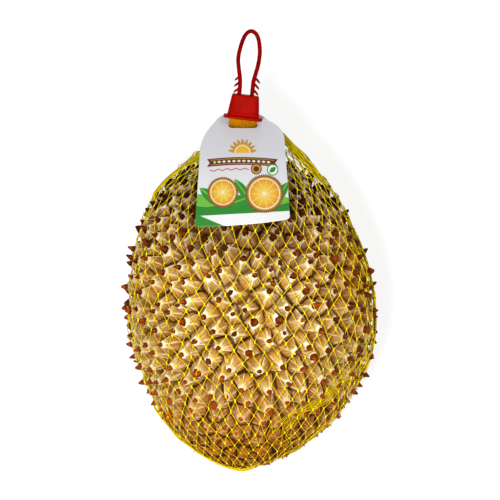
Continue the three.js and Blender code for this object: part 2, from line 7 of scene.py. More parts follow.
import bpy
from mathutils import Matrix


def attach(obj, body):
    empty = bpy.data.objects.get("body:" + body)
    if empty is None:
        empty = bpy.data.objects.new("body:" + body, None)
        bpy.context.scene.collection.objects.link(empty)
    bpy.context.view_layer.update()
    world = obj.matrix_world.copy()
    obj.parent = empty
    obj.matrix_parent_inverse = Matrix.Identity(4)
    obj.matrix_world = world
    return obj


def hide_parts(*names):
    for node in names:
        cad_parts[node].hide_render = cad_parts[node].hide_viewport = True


bl_info = {
    "name": "Durian in a Net",
    "version": (1, 0, 0),
    "blender": (4, 5, 0),
    "location": "View3D > Sidebar > Durian",
    "description": "Builds a spiny durian in its sales net, with its card tag and hanging clip",
    "category": "Object",
}

import bmesh
import bpy
import numpy as np
from mathutils import Vector

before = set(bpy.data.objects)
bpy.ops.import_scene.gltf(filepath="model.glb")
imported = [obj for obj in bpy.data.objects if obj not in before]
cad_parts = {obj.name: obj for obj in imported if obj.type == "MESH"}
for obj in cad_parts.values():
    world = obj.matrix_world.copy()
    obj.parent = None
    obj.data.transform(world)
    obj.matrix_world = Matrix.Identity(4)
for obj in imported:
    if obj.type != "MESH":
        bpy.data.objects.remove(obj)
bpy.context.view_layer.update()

MIDDLE = np.array([1.4548, -50.9877, 95.5])  # the middle of the fruit in the frame
REST_LEVEL = -95.5  # the floor, below the middle of the fruit
TAU = 2 * np.pi
RIGHT, UP = np.array([1.0, 0, 0]), np.array([0, 0, 1.0])

# The husk's valley-level outline and its spines, as in the solids.
HALF_WIDTH, HALF_DEPTH = 89.5, 86.0
TOP_END, BOTTOM_END = 119.0, 115.0
TOP_ROUNDNESS, BOTTOM_ROUNDNESS = 0.43, 0.67
LOBES, LOBE_RISE = 5, 0.014
BOW, BOW_SKEW = 7.0, 5.0
SPINE_HEIGHT, HEIGHT_SPREAD = 12.5, 0.3
SPINE_CROWDING, SPINE_SCATTER = 1.3, 0.1
END_SHORTENING, BARE_DISC = 0.2, 0.085
STALK_ROOT = np.array([-7.0, 119.0, 0.0])
STALK_RADIUS, STALK_LENGTH, STALK_SUNK = 6.5, 18, 3

# The husk's finer form.
SPINE_LEAN, SPINE_SPLAY = 0.35, 0.6  # at random, and away from the middle of the front and back
THORN_START, THORN_SIDES = 0.69, 6
TIP_ROOM = 1.55  # kept between the lowest tips and the floor, for their thorns
SKIN_EDGE = 4  # steps across each flank
SKIN_RISE = np.array([0.0, 0.06, 0.17, 0.33, 0.51, 0.69])  # shares of an average spine's height
VALLEY_SWAY, VALLEY_RAISE = 1.7, 8.0  # bend of each valley, and its rise at the blossom end
WELD = 1e-4  # points this close are one

# The net's layout, as in the solids but with twice as many strands each way.
COLUMNS, ROWS, TENT_ROWS = 50, 38, 6
STEPS = 4  # straight pieces to a strand from knot to knot
NECK_POINTS, NECK_SLACK = 26, 17.0  # points up the neck, and how far it billows to +X
SHOULDER_LATITUDE, LAST_LATITUDE = 1.02, -1.45
NECK_TILT, TAIL_TILT = 0.12, 0.35  # of the net's two poles about X
NET_SLANT, NET_TWIST = 0.1, 0.04  # rows fall towards +X, and columns lean with them
CREASE = np.array([
    (19.4, -112.8), (23.4, -98.4), (29.8, -89.6), (39.4, -82.4), (51.4, -76.0), (61.0, -70.4), (68.2, -62.4),
    (77.8, -53.6),
])
CREASE_PULL, CREASE_REACH = 0.12, 13.0  # share of the way to the crease, and how far off it acts
FOLD_STRANDS, FOLD_DIAMOND = 7, 19.0  # strands in the crease, and the length of their squeezed diamonds
FOLD_SUNK, FOLD_CLEARANCE = 4.5, 0.42  # how deep it may sink between spines, and how far off them it stays
FOLD_ROUNDS, FOLD_SINK, FOLD_PULL = 14, 0.35, 0.3  # rounds, and in each one the sinking and the pull
NET_ROUNDS, QUICK_ROUNDS = 140, 40  # of drawing the net tight
OVER_TIPS, NET_ROOM = 1.5, 0.5  # how far off the spines' tips and the floor the net starts and stays
FIRM_PULL, SOFT_PULL, HOLD = 0.4, 0.15, 0.2  # shares of a step to the taut line, and back to the start
TAUT_SINK, SLACK_SINK = 2.0, 4.1  # how deep strands sink at the ends, and how much deeper in the middle
EDGE_STRANDS = 24  # flattened strands in each edge fold of the net
KNOT_LONG, KNOT_WIDE, KNOT_DEEP = 2.1, 0.84, 0.64  # against the strands' width

# The clip's frame: its mouth's middle, its turn about Z and its lift about X.
CLIP_PLACE = np.array([-6.8, 155.4, 43.8])
CLIP_TURN, CLIP_LIFT = -0.122, 0.1
CORNER_POINTS, SIDE_POINTS = 9, (33, 5)  # of the ferrule's rings, round each corner and along its sides
CORD_RADIUS, CORD_SIDES, CORD_STEPS = 1.68, 16, 300
HOLE_RADIUS, PANEL_DEPTH = 1.62, 0.25
DIVIDER_POINTS = 7  # on the line that halves the roof and the ceiling
LOOP_LINE = (
    (-5.2, 14.8), (-5.2, 20.5), (-5.4, 26.5), (-6, 31.5), (-9.2, 45.8), (-9.3, 51.5), (-7.4, 63), (-5, 68.4),
    (-1.8, 70.5), (1.4, 69.5), (4.2, 66), (7, 55), (6.9, 43.8), (5.9, 37.5), (4.9, 31), (4.9, 26), (5, 20.5),
    (5, 14.8), (3.6, 13.4), (-3.8, 13.4),
)

# The card's plan as quadratic curves of (start, bend, end), its level and its slot.
CARD_OUTLINE = (
    ((-44.5, 72), (-44.5, 69.5), (-42, 69.6)),
    ((-42, 69.6), (-5, 70.2), (27.2, 75.2)),
    ((27.2, 75.2), (30.8, 75.8), (30.6, 79)),
    ((30.6, 79), (28.5, 110), (26.4, 141)),
    ((26.4, 141), (24, 150), (14, 154)),
    ((14, 154), (8, 160), (2, 160)),
    ((2, 160), (-7, 160), (-16, 160)),
    ((-16, 160), (-25, 160), (-29.6, 152.6)),
    ((-29.6, 152.6), (-39, 143), (-40.6, 132)),
    ((-40.6, 132), (-42.5, 102), (-44.5, 72)),
)
CARD_THICKNESS, CARD_COLUMNS = 0.6, 240
CARD_FOOT, CARD_LEVEL = 72, 87.8  # Y of its lower edge, and its underside's height there
CARD_SLOPE, CARD_BEND = 0.5, 0.0019  # fall with Y, straight and squared
CARD_ROLL, CARD_CURL = 0.0016, 6  # fall to the sides, and rise of the curled corner
SLOT_MIDDLE = np.array([-6.5, 151.3])
SLOT_REACH, SLOT_RADIUS = 9.0, 2.8

# The stage, in the frame's metres.
FLOOR_HALF, FLOOR_GLOW = 6.0, 0.73
LAMPS = (  # name, place, size and share of the key light's power
    ("key", (-0.28, -0.32, 1.95), 0.45, 1.0),
    ("front", (0.45, 0.75, 2.2), 0.9, 0.35),
    ("side", (1.0, -0.2, 1.2), 1.0, 0.06),
)
LAMP_AIM = Vector((0.0, -0.03, 0.09))
EYE_SHIFT = (-1.0, 51.3)  # the camera from the middle of the fruit, in millimetres
VIEW_WIDTH, VIEW_REACH = 0.399, 20  # what the camera shows across, and how far it sees
SENSOR_WIDTH = 36


# ---- Arrays and meshes ----


def draw(i, k):
    """Repeatable draw from 0 to 1 for item i and channel k: the fraction of a large sine."""
    x = np.sin(i * 12.9898 + k * 78.233) * 43758.5453
    return x - np.floor(x)


def draw3(i, k):
    """Three draws from -0.5 to 0.5, from channel k on, as a vector."""
    return np.stack([draw(i, k), draw(i, k + 1), draw(i, k + 2)], -1) - 0.5


def unit(v):
    """v over its own length, along the last axis."""
    return v / np.maximum(np.linalg.norm(v, axis=-1, keepdims=True), 1e-12)


def off_axis(v, axis):
    """v without its part along a unit axis."""
    return v - (v * axis).sum(-1, keepdims=True) * axis


def facing(v, way):
    """v, turned round wherever it points against way."""
    return v * np.where((v * way).sum(-1, keepdims=True) < 0, -1.0, 1.0)


def smoothstep(low, high, x):
    """0 below low, 1 above high, and 3t^2 - 2t^3 between."""
    t = np.clip((x - low) / (high - low), 0, 1)
    return t * t * (3 - 2 * t)


def ripple(p, scale, seed):
    """Smooth vector noise: for each axis, the mean of four sines along seeded directions."""
    k = np.arange(12)
    way = unit(draw3(k, seed))
    phase = TAU * draw(k, seed + 3)
    waves = np.sin(p @ way.T * (TAU / scale) * (0.7 + 0.6 * draw(k, seed + 4)) + phase)
    return waves.reshape(*p.shape[:-1], 3, 4).mean(-1)


def walked(line):
    """Length walked along a line up to each of its points."""
    return np.append(0, np.cumsum(np.linalg.norm(np.diff(line, axis=0), axis=1)))


def catmull_rom(points, samples, closed=False):
    """Centripetal Catmull-Rom curve through the points, with even steps of parameter.

    Between p1 and p2 it is the usual cubic whose tangents weigh the neighbours by the square root of
    their distances.
    """
    p = np.asarray(points, float)
    if closed:
        ext = np.concatenate([p[-1:], p, p[:2]])
    else:
        ext = np.concatenate([2 * p[:1] - p[1:2], p, 2 * p[-1:] - p[-2:-1]])
    spans = len(ext) - 3
    t = np.linspace(0, spans, samples, endpoint=not closed)
    k = np.minimum(t.astype(int), spans - 1)
    w = (t - k)[:, None]
    p0, p1, p2, p3 = ext[k], ext[k + 1], ext[k + 2], ext[k + 3]
    steps = ((p0, p1), (p1, p2), (p2, p3))
    d0, d1, d2 = (np.sqrt(np.linalg.norm(b - a, axis=1, keepdims=True)) for a, b in steps)
    m1 = d1 * ((p1 - p0) / d0 - (p2 - p0) / (d0 + d1) + (p2 - p1) / d1)
    m2 = d1 * ((p2 - p1) / d1 - (p3 - p1) / (d1 + d2) + (p3 - p2) / d2)
    c3 = 2 * p1 - 2 * p2 + m1 + m2
    c2 = -3 * p1 + 3 * p2 - 2 * m1 - m2
    return ((c3 * w + c2) * w + m1) * w + p1


def grid_faces(rows, columns, wrapped=False):
    """Quads of a grid, joined round each row and, where it is wrapped, from the last row to the first."""
    ids = np.arange(rows * columns).reshape(rows, columns)
    above = np.roll(ids, -1, 0)
    quads = np.stack([ids, np.roll(ids, -1, 1), np.roll(above, -1, 1), above], -1)
    return quads[: rows if wrapped else rows - 1].reshape(-1, 4)


def around(side, up, angles):
    """Rings round each place: side * cos(a) + up * sin(a) for each angle a."""
    return side[..., None, :] * np.cos(angles)[:, None] + up[..., None, :] * np.sin(angles)[:, None]


def skins(rings, poles=None):
    """Points, quads and end faces of closed skins, one over each stack of rings (stack, row, column, xyz).

    An end is one flat face, or where the two poles (stack, 2, xyz) are given, a fan to its pole.
    """
    count, rows, columns, _ = rings.shape
    shift = (np.arange(count) * rows * columns)[:, None, None]
    quads = (grid_faces(rows, columns)[None] + shift).reshape(-1, 4)
    column = np.arange(columns)
    first, last = column[::-1] + shift[:, 0], column + (rows - 1) * columns + shift[:, 0]
    points = rings.reshape(-1, 3)
    if poles is None:
        return points, quads, np.concatenate([first, last])
    ends = np.stack([first, last], 1)
    tops = np.broadcast_to((len(points) + np.arange(2 * count)).reshape(count, 2, 1), ends.shape)
    fans = np.stack([ends, np.roll(ends, -1, -1), tops], -1).reshape(-1, 3)
    return np.concatenate([points, poles.reshape(-1, 3)]), quads, fans


def tubes(paths, outward, wide, thick, sides):
    """Closed tubes along many paths of equal length at once.

    Each cross-section is an ellipse: path + side * wide * cos(a) + up * thick * sin(a), where side is
    the path's direction crossed with the outward hint, and up is side crossed with the direction.
    """
    along = unit(np.gradient(paths, axis=1))
    side = unit(np.cross(along, outward))
    wide, thick = (np.broadcast_to(size, paths.shape[:2])[..., None] for size in (wide, thick))
    a = TAU * (np.arange(sides) + 0.5) / sides
    return skins(paths[:, :, None] + around(side * wide, np.cross(side, along) * thick, a))


def build_mesh(name, points, face_groups, smooth=True):
    """Mesh object at the origin from points in fruit millimetres and arrays of equal-sided faces."""
    mesh = bpy.data.meshes.new(name)
    points = (np.asarray(points, float) + MIDDLE) / 1000
    groups = [np.asarray(g, np.int32) for g in face_groups if len(g)]
    loops = np.concatenate([g.ravel() for g in groups])
    sizes = np.concatenate([np.full(len(g), g.shape[1], np.int32) for g in groups])
    starts = np.concatenate([[0], np.cumsum(sizes)[:-1]]).astype(np.int32)
    mesh.vertices.add(len(points))
    mesh.vertices.foreach_set("co", points.astype(np.float32).ravel())
    mesh.loops.add(len(loops))
    mesh.loops.foreach_set("vertex_index", loops)
    mesh.polygons.add(len(sizes))
    mesh.polygons.foreach_set("loop_start", starts)
    mesh.update(calc_edges=True)
    mesh.polygons.foreach_set("use_smooth", np.full(len(sizes), smooth))
    mesh.validate()
    obj = bpy.data.objects.new(name, mesh)
    bpy.context.scene.collection.objects.link(obj)
    return obj


def add_values(obj, name, values, domain="POINT"):
    """Stores one number for each point or face, for the material to read."""
    layer = obj.data.attributes.new(name, "FLOAT", domain)
    layer.data.foreach_set("value", np.asarray(values, np.float32).ravel())


def add_uv(obj, name, uv):
    """Stores one pair of numbers for each face corner."""
    layer = obj.data.uv_layers.new(name=name)
    layer.uv.foreach_set("vector", np.asarray(uv, np.float32).ravel())


def finish(obj, material, slot, *nodes):
    """Gives the piece its material and the root body, and hides the nodes that it stands for; the slot is
    not used.
    """
    obj.data.materials.append(material)
    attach(obj, "root")
    if nodes:
        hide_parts(*nodes)


# ---- The husk's cells, by the same rules as the solids ----


def end_near(y):
    """How far the end of the fruit on y's side of the middle is."""
    return np.where(y > 0, TOP_END, BOTTOM_END)


def half_width(y):
    """Half the fruit's width at height y: the greatest, times 1 - (y / end)^2 to the end's power."""
    power = np.where(y > 0, TOP_ROUNDNESS, BOTTOM_ROUNDNESS)
    return HALF_WIDTH * np.maximum(0, 1 - (y / end_near(y)) ** 2) ** power


def kept_height(u):
    """Share of their height that spines keep in directions u: less by the sixth power of u's Y."""
    return 1 - END_SHORTENING * np.abs(u[..., 1]) ** 6


def bow(y):
    """Sideways bulge of the fruit's axis at height y: a parabola, skewed to the lower end."""
    s = -y / end_near(y)
    bulge = np.maximum(0, 1 - s * s)
    return BOW * (bulge - 1) + BOW_SKEW * s * bulge


def husk_radius(u):
    """Distance from the middle to the valley level along unit directions u, by halving."""
    inside = np.zeros(u.shape[:-1])
    outside = np.full(u.shape[:-1], 1.4 * TOP_END)
    for _ in range(40):
        r = (inside + outside) / 2
        y = r * u[..., 1]
        x = r * u[..., 0] - bow(y)
        z = r * u[..., 2] * HALF_WIDTH / HALF_DEPTH
        lobed = 1 + LOBE_RISE * np.cos(LOBES * np.arctan2(x, z))
        within = (np.abs(y) < end_near(y)) & (np.hypot(x, z) < half_width(y) * lobed)
        inside = np.where(within, r, inside)
        outside = np.where(within, outside, r)
    return inside


def husk_point(u):
    """Places of the valley level along unit directions u."""
    return u * husk_radius(u)[..., None]


def compass(u):
    """East and north along the surface of a sphere at directions u, with the pole at +Y."""
    east = unit(np.stack([u[..., 2], np.zeros(u.shape[:-1]), -u[..., 0]], -1))
    north = unit(np.array([0.0, 1.0, 0.0]) - u[..., 1:2] * u)
    return east, north


def husk_normal(u):
    """Outward normal of the valley-level surface, from two points close by on either side."""
    east, north = compass(u)
    along = husk_point(unit(u + 0.03 * east)) - husk_point(unit(u - 0.03 * east))
    up = husk_point(unit(u + 0.03 * north)) - husk_point(unit(u - 0.03 * north))
    return facing(unit(np.cross(up, along)), u)


def spine_directions(count):
    """Golden-angle spiral whose turns follow the surface area, then scattered a little."""
    slices = 400
    k = np.arange(slices)
    y0 = -BOTTOM_END + (TOP_END + BOTTOM_END) * k / slices
    y1 = y0 + (TOP_END + BOTTOM_END) / slices
    r0, r1 = half_width(y0), half_width(y1)
    middle = (y0 + y1) / 2
    end = np.abs(middle) / end_near(middle)
    area = (r0 + r1) / 2 * np.hypot(y1 - y0, r1 - r0) * (1 + SPINE_CROWDING * end**4)
    areas = np.concatenate([[0], np.cumsum(area)])
    i = np.arange(count)
    share = np.interp(areas[-1] * (i + 0.5) / count, areas, np.arange(slices + 1)) / slices
    y = -BOTTOM_END + (TOP_END + BOTTOM_END) * share
    angle = i * np.pi * (3 - np.sqrt(5))
    r = half_width(y)
    u = unit(np.stack([r * np.sin(angle) + bow(y), y, r * np.cos(angle) * HALF_DEPTH / HALF_WIDTH], -1))
    return unit(u + SPINE_SCATTER * draw3(i, 1))


def hull_triangles(directions):
    """Triangles between neighbouring directions: the faces of their convex hull."""
    mesh = bpy.data.meshes.new("hull")
    mesh.from_pydata(directions.tolist(), [], [])
    bm = bmesh.new()
    bm.from_mesh(mesh)
    bmesh.ops.convex_hull(bm, input=bm.verts)
    bm.to_mesh(mesh)
    bm.free()
    triangles = np.empty(len(mesh.loops), np.int32)
    mesh.loops.foreach_get("vertex_index", triangles)
    bpy.data.meshes.remove(mesh)
    return triangles.reshape(-1, 3)


class Husk:
    """Cells of the husk: spine roots, tips and flanks, where each flank is (tip, corner, corner)."""

    def __init__(self, count):
        u = spine_directions(count)
        triangles = hull_triangles(u)
        a, b, c = u[triangles[:, 0]], u[triangles[:, 1]], u[triangles[:, 2]]
        self.corners = husk_point(facing(unit(np.cross(b - a, c - a)), a))
        self.u = u
        self.root = husk_point(u)
        self.normal = husk_normal(u)
        i = np.arange(count)
        from_stalk = np.arccos(np.minimum(1, u @ unit(STALK_ROOT)))
        bare = np.clip(from_stalk / BARE_DISC - 1, 0, 1)
        spread = 1 + HEIGHT_SPREAD * (draw(i, 4) - 0.5)
        height = SPINE_HEIGHT * spread * kept_height(u) * bare
        lean = off_axis(draw3(i, 21), self.normal)
        # They splay away from the middle of the front and back, most in the lower half, least at its end.
        low = -u[:, 1:2]
        splay = 1 + 0.8 * smoothstep(0.2, 0.6, low) - 1.5 * smoothstep(0.7, 0.9, low)
        away = off_axis(self.root * [1 / HALF_WIDTH, 1 / BOTTOM_END, 0] * splay, self.normal)
        self.tip = self.root + (self.normal + SPINE_LEAN * lean + SPINE_SPLAY * away) * height[:, None]
        # Share of the height where the woody thorn takes over: later towards the blossom end, sooner
        # round the shoulder and on one spine in ten.
        self.start = THORN_START + 0.02 * smoothstep(0.5, 0.9, -u[:, 1]) + 0.05 * (draw(i, 24) - 0.5)
        self.start -= 0.06 * smoothstep(0.3, 0.65, u[:, 1]) + 0.06 * smoothstep(0.55, 0.85, u[:, 1])
        self.start -= 0.12 * smoothstep(0.86, 0.92, draw(i, 25))
        self.tip[:, 2] = np.maximum(self.tip[:, 2], REST_LEVEL + TIP_ROOM)
        self.height = np.linalg.norm(self.tip - self.root, axis=1)
        self.axis = unit(self.tip - self.root + 1e-6 * self.normal)
        # Each hull edge joins two spines, and its two triangles give the valley between them.
        edges = np.concatenate([triangles[:, pair] for pair in ([0, 1], [1, 2], [2, 0])])
        edges = np.sort(edges, 1)
        owner = np.tile(np.arange(len(triangles)), 3)
        order = np.lexsort((edges[:, 1], edges[:, 0]))
        pair, valley = edges[order[::2]], np.stack([owner[order[::2]], owner[order[1::2]]], -1)
        cell = np.concatenate([pair[:, 0], pair[:, 1]])
        ends = np.concatenate([valley, valley])
        p, q = self.corners[ends[:, 0]], self.corners[ends[:, 1]]
        turn = (np.cross(p - self.root[cell], q - self.root[cell]) * u[cell]).sum(-1)
        ends[turn < 0] = ends[turn < 0][:, ::-1]
        self.cell, self.ends = cell, ends
        # Mean distance from each spine's root to the corners of its cell.
        reach = np.linalg.norm(self.corners[ends[:, 0]] - self.root[cell], axis=1)
        self.reach = np.bincount(cell, reach) / np.bincount(cell)
        self.flanks = self.planes()

    def planes(self):
        """Flank planes of each cell, padded with the cell's last one: normals and offsets."""
        tip = self.tip[self.cell]
        p, q = self.corners[self.ends[:, 0]], self.corners[self.ends[:, 1]]
        normal = facing(unit(np.cross(p - tip, q - tip)), self.u[self.cell])
        offset = (normal * tip).sum(-1)
        order = np.argsort(self.cell, kind="stable")
        counts = np.bincount(self.cell)
        starts = np.concatenate([[0], np.cumsum(counts)[:-1]])
        slots = np.minimum(np.arange(counts.max())[None], counts[:, None] - 1)
        index = order[starts[:, None] + slots]
        return normal[index].astype(np.float32), offset[index].astype(np.float32)

    def nearest(self, p):
        """The spine whose direction is closest to each point's."""
        return (p.astype(np.float32) @ self.u.astype(np.float32).T).argmax(1)

    def clear(self, p, cell, clearance):
        """Points moved out along a flank's normal until they clear it, and sideways off the thorn."""
        normal, offset = self.flanks
        gaps = np.einsum("pfk,pk->pf", normal[cell], p.astype(np.float32)) - offset[cell]
        worst = gaps.argmax(1)
        gap = np.take_along_axis(gaps, worst[:, None], 1)[:, 0]
        p = p + normal[cell, worst] * np.maximum(0, clearance - gap)[:, None]
        spoke = p - self.root[cell]
        rise = (spoke * self.axis[cell]).sum(-1)
        side = spoke - rise[:, None] * self.axis[cell]
        off = np.linalg.norm(side, axis=1)
        thorn_gap = self.reach[cell] * (1 - self.start[cell]) + 0.5
        near = (rise > self.height[cell] * self.start[cell] - 1) & (off < thorn_gap)
        return p + unit(side) * np.where(near, 0.7 * (thorn_gap - off), 0)[:, None]


# ---- The husk's skin ----


def husk_skin(husk, hollow, roughen):
    """Points, quads and the finer measures of the spiny skin.

    A flank's point at share e across and s up is base + (tip - base) * s, where base runs from corner
    to corner. It is pushed in along the spine's normal by the spine's height times
    hollow * 4 s (1 - s) * (0.35 + 0.65 sin(pi e)^0.7), so the flanks are dished more than the ridges.
    The measures are rise (0 in the valleys), ridge (1 on ridges, 0 midway), the fibres' coordinates, and
    the flank that each quad belongs to.
    """
    e = np.arange(SKIN_EDGE + 1) / SKIN_EDGE
    s = np.append(SKIN_RISE, THORN_START + 0.015)
    cell = husk.cell
    p, q = husk.corners[husk.ends[:, 0]], husk.corners[husk.ends[:, 1]]
    base = p[:, None] * (1 - e)[None, :, None] + q[:, None] * e[None, :, None]
    # The valley between two corners is bent a little so that it doesn't run dead straight.
    sway = np.sin(np.pi * e)[None, :, None] * ripple((p + q)[:, None] / 2 + np.zeros_like(base), 9.0, 20)
    base = base + VALLEY_SWAY * sway
    # The valleys are shallower towards the blossom end.
    base = base + VALLEY_RAISE * smoothstep(0.6, 0.95, -unit(base)[..., 1:2]) * unit(base)
    climb = s * (husk.start[cell] / THORN_START)[:, None, None]
    point = base[:, :, None] + (husk.tip[cell][:, None] - base)[:, :, None] * climb[..., None]
    dish = 4 * s * (1 - s) * (0.35 + 0.65 * np.sin(np.pi * e)[:, None] ** 0.7)
    depth = hollow * husk.height[cell][:, None, None] * dish[None]
    point = point - depth[..., None] * husk.normal[cell][:, None, None]
    # The last ring closes on the spine's own axis, under the thorn.
    centre = husk.root + (husk.tip - husk.root) * (husk.start - 0.02)[:, None]
    point[:, :, -1] = centre[cell][:, None]
    point = point + roughen * ripple(point, 6.0, 40) + 0.5 * roughen * ripple(point, 2.6, 60)
    rise = np.broadcast_to(s, point.shape[:-1])
    ridge = np.broadcast_to(np.abs(2 * e - 1)[:, None], rise.shape)
    # Fibres run round the spine by angle and up it by rise.
    offset = base - husk.root[cell][:, None]
    east, north = ((offset * way[cell][:, None]).sum(-1) for way in compass(husk.u))
    angle = np.arctan2(north, east)
    angle = angle[:, :1] + (angle - angle[:, :1] + np.pi) % TAU - np.pi
    turned = angle * 5.0 + 40.0 * draw(cell, 7)[:, None]
    fibre = np.stack([np.broadcast_to(turned[:, :, None], rise.shape), rise * 13.0], -1)
    ids = np.arange(rise.size).reshape(rise.shape)
    quads = np.stack([ids[:, :-1, :-1], ids[:, 1:, :-1], ids[:, 1:, 1:], ids[:, :-1, 1:]], -1)
    quads = quads.reshape(-1, 4)
    flank = np.repeat(np.arange(len(ids)), len(quads) // len(ids))
    return point.reshape(-1, 3), quads, rise.ravel(), ridge.ravel(), fibre.reshape(-1, 2), flank


def weld(points, faces):
    """Joins points that coincide: the points left, the faces on them and each point's first place."""
    _, first, inverse = np.unique(
        np.round(points / WELD).astype(np.int64), axis=0, return_index=True, return_inverse=True
    )
    return points[first], inverse.reshape(-1)[faces], first


def crisp_edges(obj, *groups):
    """Marks the edges whose two ends are in the same group as sharp."""
    edges = np.empty(2 * len(obj.data.edges), np.int32)
    obj.data.edges.foreach_get("vertices", edges)
    a, b = edges.reshape(-1, 2).T
    crisp = np.zeros(len(a), bool)
    for group in groups:
        crisp |= group[a] & group[b]
    layer = obj.data.attributes.new("sharp_edge", "BOOLEAN", "EDGE")
    layer.data.foreach_set("value", crisp)


def build_husk(look):
    """The rind: one closed skin of about seven hundred dished pyramids."""
    husk = Husk(look.spine_count)
    points, quads, rise, ridge, fibre, flank = husk_skin(husk, look.flank_hollow, look.roughness_depth)
    joined, faces, first = weld(points, quads)
    # The uppermost quads have run together at the spine's axis, and become triangles.
    top = faces[:, 2] == faces[:, 3]
    obj = build_mesh("husk_rind", joined, [faces[~top], faces[top, :3]])
    # Ridges run up the corners of each cell, and valleys along its foot.
    columns, rows = SKIN_EDGE + 1, len(SKIN_RISE) + 1
    corner = np.arange(len(points)) // rows % columns % SKIN_EDGE == 0
    crisp_edges(obj, corner[first] & (rise[first] < 0.6), rise[first] == 0)
    add_uv(obj, "fibre", fibre[np.concatenate([quads[~top].ravel(), quads[top, :3].ravel()])])
    add_values(obj, "rise", rise[first])
    add_values(obj, "ridge", ridge[first])
    # Painted shadow of the gathered net on the rind.
    add_values(obj, "net_shadow", crease_shadow(joined))
    flank = np.concatenate([flank[~top], flank[top]])
    add_values(obj, "tone", draw(husk.cell[flank], 8), "FACE")
    add_values(obj, "facet", draw(flank, 9), "FACE")
    finish(obj, husk_material(look), "husk", "durian_husk")


def build_thorns(look):
    """Short woody thorns on the spines' ends: blunt, slightly bent cones."""
    husk = Husk(look.spine_count)
    keep = husk.height > 2.5
    i = np.flatnonzero(keep)
    axis, share = husk.axis[keep], 1 - husk.start[keep]
    height = husk.height[keep] * share
    t = np.array([-0.15, 0.0, 0.35, 0.7, 0.94, 1.0])
    taper = np.array([1.0, 1.06, 0.8, 0.5, 0.24, 0.05])
    radius = husk.reach[keep] * share * look.thorn_fullness * (0.8 + 0.4 * draw(i, 11))
    length = height * (0.8 + 0.35 * draw(i, 12))
    start = husk.tip[keep] - axis * height[:, None]
    lean = off_axis(draw3(i, 13), axis)
    side = unit(np.cross(axis, np.array([0.31, 0.2, 0.93])))
    along = start[:, None] + axis[:, None] * (length[:, None] * t)[..., None]
    along = along + lean[:, None] * (0.6 * length[:, None] * np.maximum(t, 0) ** 2)[..., None]
    blunt = 0.75 + 0.5 * draw(i, 18)[:, None]
    reach = radius[:, None] * taper * np.where(t > 0, blunt ** np.clip(t, 0, 1), 1)
    column = np.arange(THORN_SIDES)
    wobble = 1 + 0.55 * (draw(i[:, None] * 7 + column, 16) - 0.5)
    ring = around(side, np.cross(axis, side), TAU * column / THORN_SIDES)
    rings = along[:, :, None] + ring[:, None] * (reach[:, :, None] * wobble[:, None])[..., None]
    points, quads, caps = skins(rings)
    obj = build_mesh("spine_thorns", points, [quads, caps], smooth=False)
    add_values(obj, "rise", np.broadcast_to(t[None, :, None], rings.shape[:-1]))
    tone = draw(i, 17)
    add_values(obj, "tone", np.concatenate([np.repeat(tone, len(quads) // len(i)), tone, tone]), "FACE")
    finish(obj, thorn_material(look), "husk")


# ---- The net ----


def clip_axes():
    """The clip's own X, Y and Z: lifted about X, then turned about Z."""
    c, s = np.cos(CLIP_LIFT), np.sin(CLIP_LIFT)
    lift = np.array([[1, 0, 0], [0, c, -s], [0, s, c]])
    c, s = np.cos(CLIP_TURN), np.sin(CLIP_TURN)
    return np.array([[c, -s, 0], [s, c, 0], [0, 0, 1]]) @ lift


def in_clip(p):
    """Points given in the clip's own frame, in the fruit's."""
    return np.asarray(p, float) @ clip_axes().T + CLIP_PLACE


def tail_ways():
    """Directions down to the net's lower pole and back from it, and where the tail starts."""
    way = unit(np.array([-0.02, -np.cos(TAIL_TILT), -np.sin(TAIL_TILT)]))
    back = np.array([0.0, np.sin(TAIL_TILT), -np.cos(TAIL_TILT)])
    start = way * (husk_radius(way) + SPINE_HEIGHT * (1 - END_SHORTENING) + 4)
    return way, back, start


def over_spines(p):
    """Points along the directions of p that lie just outside the spines' tips."""
    u = unit(p)
    return u * (husk_radius(u) + SPINE_HEIGHT * kept_height(u) + OVER_TIPS)[..., None]


def to_crease(p):
    """For points: the crease's nearest place in X and Y, the distance, and the share along the crease."""
    a, b = CREASE[:-1], CREASE[1:]
    flat = p[..., None, :2]
    t = np.clip(((flat - a) * (b - a)).sum(-1) / ((b - a) ** 2).sum(-1), 0, 1)
    nearest = a + (b - a) * t[..., None]
    gap = np.linalg.norm(flat - nearest, axis=-1)
    k = gap.argmin(-1)
    spot = np.take_along_axis(nearest, k[..., None, None], -2)[..., 0, :]
    return spot, gap.min(-1), (k + np.take_along_axis(t, k[..., None], -1)[..., 0]) / len(a)


def crease_shadow(p):
    """How far the rind lies under the gathered net, as the share of its painted shadow there: 1 on the
    crease, wider towards its lower end.
    """
    _, d, along = to_crease(p)
    return np.exp(-((d / (5.5 + 7 * (1 - along))) ** 2)) * smoothstep(1, 0.7, along) * (p[..., 2] > 0)


def drawn_to_crease(p):
    """Points of the front moved sideways to the crease by up to CREASE_PULL of their distance d.

    The share falls off as exp(-(d / CREASE_REACH)^2) and towards the crease's ends.
    """
    spot, d, along = to_crease(p)
    ends = smoothstep(0, 0.12, along) * smoothstep(1, 0.75, along)
    share = CREASE_PULL * np.exp(-((d / CREASE_REACH) ** 2)) * ends * (p[..., 2] > 0)
    moved = p.copy()
    moved[..., :2] += (spot - p[..., :2]) * share[..., None]
    return moved


def tilted(latitude, angle):
    """Directions at the net's own latitude: a sphere's, turned about X more and more towards its poles.

    So the lower pole lies behind the fruit's lower end, and the upper one in front of its upper end.
    """
    tilt = NECK_TILT * np.maximum(0, np.sin(latitude)) + TAIL_TILT * np.maximum(0, -np.sin(latitude)) ** 3
    x, y, z = np.cos(latitude) * np.sin(angle), np.sin(latitude), np.cos(latitude) * np.cos(angle)
    return np.stack([x, y * np.cos(tilt) - z * np.sin(tilt), y * np.sin(tilt) + z * np.cos(tilt)], -1)


